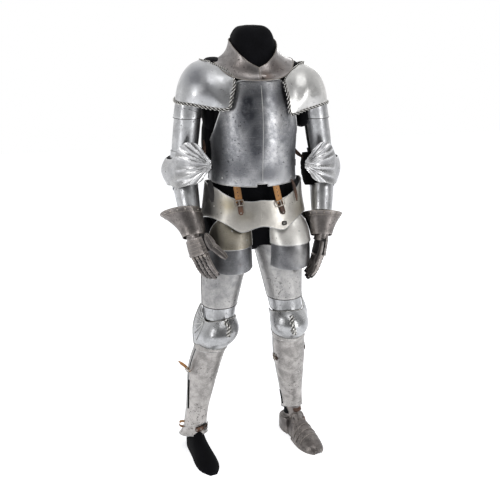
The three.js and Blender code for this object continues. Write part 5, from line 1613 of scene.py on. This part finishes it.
class ARMOUR_OT_greaves(bpy.types.Operator):
    """Finish the greaves with their pitted steel, straps and buckles"""
    bl_idname = "armour.greaves"
    bl_label = "Greaves"

    def execute(self, context):
        for side in SIDES:
            for part in ("front", "back"):
                node = f"greave_{part}_{side}"
                dress(node, "greave", levels=3)
                edged(node, radius=0.0013, slot="bright_steel" if part == "front" else "grey_steel")
        self.ankle_strap()
        self.calf_straps()
        self.gaps()
        return {"FINISHED"}

    def across(self, name, centre, height, start, stop):
        """A strap round the left greave, between two angles from the front. It sinks a little."""
        points, outs = [], []
        count = 26
        for i in range(count + 1):
            way = way_at(math.radians(start + (stop - start) * i / count))
            origin = Vector((centre.x, centre.y, height - 0.004 * i / count)) + way * 0.4
            hit = cast(("greave_front_left", "greave_back_left"), origin, -way, 0.4)
            if hit:
                points.append(hit[0] + way * 0.0026)
                outs.append(way)
        strap(name, points, outs, "umber", 0.014)
        return points, outs

    def ankle_strap(self):
        """The right greave's flared foot, with its strap and the strap's rolled end."""
        centre = spot(-222, -8, 0)
        plates = ("greave_front_right", "greave_back_right")
        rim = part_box("greave_front_right")[0][2]
        heart = Vector((centre.x, centre.y, rim + 0.008))
        reach = []
        for i in range(FOOT_STEPS):
            way = way_at(math.tau * i / FOOT_STEPS)
            hits = [skins[n].ray_cast(heart + way * 0.3, -way)[0] for n in plates]
            reach.append(max(((h - heart).length for h in hits if h is not None), default=0.05))
        soft = [sum(reach[(i + k) % FOOT_STEPS] for k in range(-3, 4)) / 7 for i in range(FOOT_STEPS)]
        soft.append(soft[0])

        def surface(u, v):
            turn = math.tau * u
            at = (u % 1.0) * FOOT_STEPS
            k = int(at)
            base = soft[k] + (soft[min(k + 1, FOOT_STEPS)] - soft[k]) * (at - k)
            flare = 0.002 + 0.020 * max(math.cos(turn - math.radians(240)), 0) ** 2
            low = rim - 0.040 + 0.013 * math.cos(turn - math.radians(20))
            radius = base - 0.0035 + flare * (1 - v) ** 1.6 + 0.003 * (1 - v)
            return Vector((centre.x, centre.y, low + (rim + 0.012 - low) * v)) + way_at(turn) * radius

        piece = outward(shell("greave_foot_right", surface, FOOT_STEPS, 16, 0.0018, closed=True))
        finish_trim(piece, "greave", "figure", 40)
        bead("greave_foot_edge", [[surface(i / 90, 0) for i in range(91)]], 0.0014, "wire")
        points, outs = [], []
        for k in range(14):
            turn = math.radians(-12 + 84 * k / 13)
            way = way_at(turn)
            points.append(surface((turn / math.tau) % 1.0, 0.62 + 0.16 * k / 13) + way * 0.0042)
            outs.append(way)
        strap("ankle_strap_right", points, outs, "umber", 0.018)
        buckle("ankle_buckle_right", points[8], outs[8], points[9] - points[7], 0.022, 0.017, "dark")
        places = [(points[i] + outs[i] * 0.0014, outs[i]) for i in (1, 4, 11)]
        rivets("ankle_strap_rivets", places, "brown_wire", 0.0034)
        roll = [facing(182.5 + 3.4 * math.cos(a), 423.5 + 2.6 * math.sin(a), 10) for a in
                (math.radians(d) for d in range(-150, 160, 22))]
        middle = facing(182.5, 423.5, 10)
        strap("ankle_strap_roll", roll, [(q - middle).normalized() for q in roll], "tan", 0.014, 0.0022,
              0.0)

    def calf_straps(self):
        """The strap end of the right calf, and the two straps of the left one."""
        right = [facing(x, y, -58) for x, y in ((178.5, 361), (181.5, 363.5), (184.5, 365.5), (188, 369))]
        end = first_seen(("greave_front_right", "greave_back_right"), 190.5, 371.5)
        right.append(end[0] + end[1] * 0.002)
        strap("calf_strap_right", right, -FORWARD, "tan", 0.0105, 0.0026, 0.3)
        buckle("calf_buckle_right", right[3] - FORWARD * 0.002, -FORWARD, right[4] - right[2], 0.015, 0.013)
        for name, x, start, stop, height in (("outer", 136, 72, 128, 0.392),
                                             ("inner", 137, -112, -68, 0.362)):
            points, outs = self.across(f"calf_strap_left_{name}", spot(x, -30, 0), height, start, stop)
            k = len(points) // 2
            buckle(f"calf_buckle_left_{name}", points[k], outs[k], points[k + 1] - points[k - 1], 0.021,
                   0.017)

    def gaps(self):
        """The jersey that shows dark between the halves of a greave."""
        paths = []
        for plates, pixels in ((("greave_front_right", "greave_back_right"),
                                ((194.8, 346), (192.2, 358), (190.2, 368), (189, 380), (188.6, 395),
                                 (188.4, 408))),
                               (("greave_front_left", "greave_back_left"),
                                ((278, 380), (280, 389), (281.6, 397), (282.6, 403)))):
            line = [first_seen(plates, x, y) for x, y in pixels]
            line = [h[0] + h[1] * 0.0002 for h in line if h]
            if len(line) > 2:
                paths.append(line)
        bead("greave_gaps", paths, 0.0032, "jersey")


class ARMOUR_OT_sabaton(bpy.types.Operator):
    """Finish the sabaton of the left foot with its lames and strap"""
    bl_idname = "armour.sabaton"
    bl_label = "Sabaton"

    def execute(self, context):
        dress("sabaton_front", "brown", levels=3, crease=25)
        dress("sabaton_heel", "brown", levels=3)
        edged("sabaton_front", "brown_wire", radius=0.0015)
        surface = self.upper()
        far = (seen("sabaton_front", 316, 449)[0] - EYE).length
        rivets("sabaton_toe_cap", [(EYE + pixel_ray(317.6, 450.4) * (far + 0.006),
               -FORWARD + ACROSS * 0.4)], "brown", 0.012, height=0.7)
        lines = [[surface(0.02 + 0.96 * i / 30, v) for i in range(31)]
                 for v in (0.36, 0.49, 0.62, 0.75, 0.88, 1.0)]
        bead("sabaton_lames", lines, 0.0014, "brown_wire")
        places = []
        for v in (0.43, 0.56, 0.69, 0.82):
            for u in (0.12, 0.88):
                here, near = surface(u, v), surface(0.5, v)
                places.append((here, (here - near + Vector((0, 0, 0.04))).normalized()))
        rivets("sabaton_rivets", places, "brown_wire", 0.0026)
        for name, v, start, stop, wide in (("sabaton_strap", 0.93, 0.3, 0.9, 0.019),
                                           ("sabaton_strap_low", 0.80, 0.64, 0.97, 0.012)):
            points = [surface(start + (stop - start) * k / 13, v) for k in range(14)]
            middle = surface(0.5, v) - Vector((0, -0.03, 0.02))
            outs = [(q - middle).normalized() for q in points]
            strap(name, [q + o * 0.0022 for q, o in zip(points, outs)], outs, "umber", wide)
        return {"FINISHED"}

    def upper(self):
        """The sabaton's lames over the toes and the instep, fitted over the foot."""
        ankle = spot(170, 24, 0)
        mesh = pieces["sabaton_front"].data
        toe = max((v.co for v in mesh.vertices if v.co.z < 0.06), key=lambda c: (c - ankle).xy.length)
        ahead = Vector(((toe - ankle).x, (toe - ankle).y, 0))
        long = ahead.length
        ahead.normalize()
        aside, up = Vector((0, 0, 1)).cross(ahead), Vector((0, 0, 1))
        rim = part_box("greave_front_left")[0][2]
        stations = ((0.0, 0.74, 0.019, 90, 125), (0.1, 0.74, 0.019, 62, 125), (0.25, 0.72, 0.020, 18, 122),
                    (0.4, 0.62, 0.024, 0, 112), (0.7, 0.36, 0.034, 4, 100), (0.85, 0.14, 0.06, 34, 100),
                    (1.0, 0.0, rim + 0.004, 74, 104))

        def surface(u, v):
            _, share, height, tilt, spread = between(stations, v)
            turn = math.radians(spread * (2 * u - 1))
            tilt = math.radians(tilt) * (1 - 0.7 * smooth(v, 0.6, 1.0) * math.sin(turn) ** 2)
            way = (up * math.cos(turn) + aside * math.sin(turn)) * math.cos(tilt) + ahead * math.sin(tilt)
            heart = ankle + ahead * (long * share) + up * height
            far = cover(("sabaton_front", "dummy_leg_left"), heart, way, 0.15, 0.03)
            lame = max(v - 0.36, 0) / 0.13
            step = 0.0018 * (1 - lame % 1) if 0 < lame < 4.99 else 0.0
            place = heart + way * (far + 0.0014 + step)
            place.z = max(place.z, 0.0025)
            return place

        def counter(u, v):
            turn = math.radians(48 + 264 * u)
            way = ahead * math.cos(turn) + aside * math.sin(turn)
            heart = ankle + ahead * (long * 0.12) + up * (0.004 + (0.082 + 0.010 * math.cos(turn)) * v)
            far = cover(("sabaton_heel", "sabaton_front", "dummy_leg_left"), heart, way, 0.16, 0.04)
            return heart + way * (far + 0.0012)

        for name, form, cols, rows in (("sabaton_upper", surface, 60, 64),
                                       ("sabaton_counter", counter, 72, 14)):
            piece = outward(shell(name, form, cols, rows, 0.0014))
            finish_trim(piece, "brown", "figure", 38)
        return surface


class ARMOUR_OT_stage(bpy.types.Operator):
    """Set the pale floor, the soft studio light and the camera"""
    bl_idname = "armour.stage"
    bl_label = "Stage"

    def execute(self, context):
        self.floor()
        self.world()
        self.lamps()
        self.camera()
        context.scene.view_settings.view_transform = "Standard"
        return {"FINISHED"}

    def floor(self):
        """A pale floor that glows a little, so that it meets the backdrop without a line."""
        size = 6.0
        floor = add_object("floor", mesh_of("floor", [(-size, -size, 0), (size, -size, 0), (size, size, 0),
                                                      (-size, size, 0)], [(0, 1, 2, 3)]))
        finish = Finish("pale_floor", 0.0, 0.9, 0.1)
        tone = finish.mix(finish.range(finish.noise(2.0, 2), 0.3, 0.7), (0.93, 0.93, 0.93),
                          (0.95, 0.95, 0.95))
        finish.done(tone, finish.range(finish.noise(40, 2), 0.3, 0.7, 0.86, 0.94))
        finish.shader.inputs["Emission Color"].default_value = (1, 1, 1, 1)
        finish.tree.links.new(self.pale(finish.tree, 0.55), finish.shader.inputs["Emission Strength"])
        floor.data.materials.append(finish.material)

    def pale(self, tree, strength):
        """A strength that only the camera, metal and glass see."""
        path = tree_node(tree, "ShaderNodeLightPath").outputs
        direct = sum_node(tree, "MAXIMUM", path["Is Camera Ray"], path["Is Glossy Ray"])
        return sum_node(tree, "MULTIPLY", sum_node(tree, "MAXIMUM", direct, path["Is Transmission Ray"]),
                        strength)

    def world(self):
        """A white backdrop behind the suit, and a dimmer room on the camera's side."""
        world = bpy.data.worlds.new("studio")
        world.use_nodes = True
        tree = world.node_tree
        tree.nodes.clear()
        place = tree_node(tree, "ShaderNodeTexCoord")
        parts = tree_node(tree, "ShaderNodeSeparateXYZ", i0=place.outputs["Generated"])
        side = tree_node(tree, "ShaderNodeMapRange", {"interpolation_type": "SMOOTHSTEP"},
                         Value=parts.outputs["Y"], From_Min=-0.45, From_Max=0.35, To_Min=0.2, To_Max=1.0)
        direct = tree_node(tree, "ShaderNodeLightPath")
        bright = sum_node(tree, "MAXIMUM", direct.outputs["Is Camera Ray"], side.outputs[0])
        soft = tree_node(tree, "ShaderNodeBackground", Color=(0.93, 0.95, 1.0, 1), Strength=0.55)
        white = tree_node(tree, "ShaderNodeBackground", Color=(1, 1, 1, 1), Strength=bright)
        blend = tree_node(tree, "ShaderNodeMixShader", i0=self.pale(tree, 1.0), i1=soft.outputs[0],
                          i2=white.outputs[0])
        tree_node(tree, "ShaderNodeOutputWorld", i0=blend.outputs[0])
        bpy.context.scene.world = world

    def lamps(self):
        """Four soft lamps, all turned to the suit's middle."""
        target = Vector((0, 0, 0.95))
        for name, place, power, wide, tall in (
                ("key", (-2.6, -1.5, 1.9), 26, 0.6, 2.4), ("fill", (2.1, -2.5, 1.6), 34, 0.55, 2.6),
                ("top", (0.2, -1.0, 3.4), 14, 1.8, 1.2), ("back", (1.6, 2.6, 2.2), 20, 1.0, 2.0)):
            lamp = bpy.data.lights.new(name, "AREA")
            lamp.shape = "RECTANGLE"
            lamp.size, lamp.size_y, lamp.energy = wide, tall, power
            holder = bpy.data.objects.new(name, lamp)
            holder.location = place
            holder.rotation_euler = (target - Vector(place)).to_track_quat("-Z", "Y").to_euler()
            bpy.context.scene.collection.objects.link(holder)

    def camera(self):
        """The camera that was solved from the photograph."""
        camera = bpy.data.cameras.new("camera")
        camera.sensor_width = 36.0
        camera.lens = FOCAL / PICTURE * camera.sensor_width
        camera.clip_end = 60
        holder = bpy.data.objects.new("camera", camera)
        turn = Matrix((ACROSS, UPWARD, -FORWARD)).transposed()
        holder.matrix_world = Matrix.Translation(EYE) @ turn.to_4x4()
        bpy.context.scene.collection.objects.link(holder)
        bpy.context.scene.camera = holder


OPERATORS = (
    ARMOUR_OT_stage, ARMOUR_OT_dummy, ARMOUR_OT_chest, ARMOUR_OT_gorget, ARMOUR_OT_pauldrons,
    ARMOUR_OT_arm_plates, ARMOUR_OT_couters, ARMOUR_OT_gauntlets, ARMOUR_OT_skirt, ARMOUR_OT_tassets,
    ARMOUR_OT_knees, ARMOUR_OT_greaves, ARMOUR_OT_sabaton,
)


class ARMOUR_PT_suit(bpy.types.Panel):
    """The suit's sizes, colours and pieces"""
    bl_label = "Suit of armour"
    bl_idname = "ARMOUR_PT_suit"
    bl_space_type = "VIEW_3D"
    bl_region_type = "UI"
    bl_category = "Armour"

    def draw(self, context):
        for group in (context.scene.armour_sizes, context.scene.armour_colours):
            column = self.layout.column()
            for name in group.__annotations__:
                column.prop(group, name)
        for operator in OPERATORS:
            self.layout.operator(operator.bl_idname)


CLASSES = (ArmourSizes, ArmourColours, *OPERATORS, ARMOUR_PT_suit)


def register():
    for cls in CLASSES:
        bpy.utils.register_class(cls)
    bpy.types.Scene.armour_sizes = PointerProperty(type=ArmourSizes)
    bpy.types.Scene.armour_colours = PointerProperty(type=ArmourColours)


def unregister():
    del bpy.types.Scene.armour_colours
    del bpy.types.Scene.armour_sizes
    for cls in reversed(CLASSES):
        bpy.utils.unregister_class(cls)


def main():
    register()
    for operator in OPERATORS:
        group, name = operator.bl_idname.split(".")
        getattr(getattr(bpy.ops, group), name)()
    bpy.context.view_layer.update()


if __name__ == "__main__":
    main()
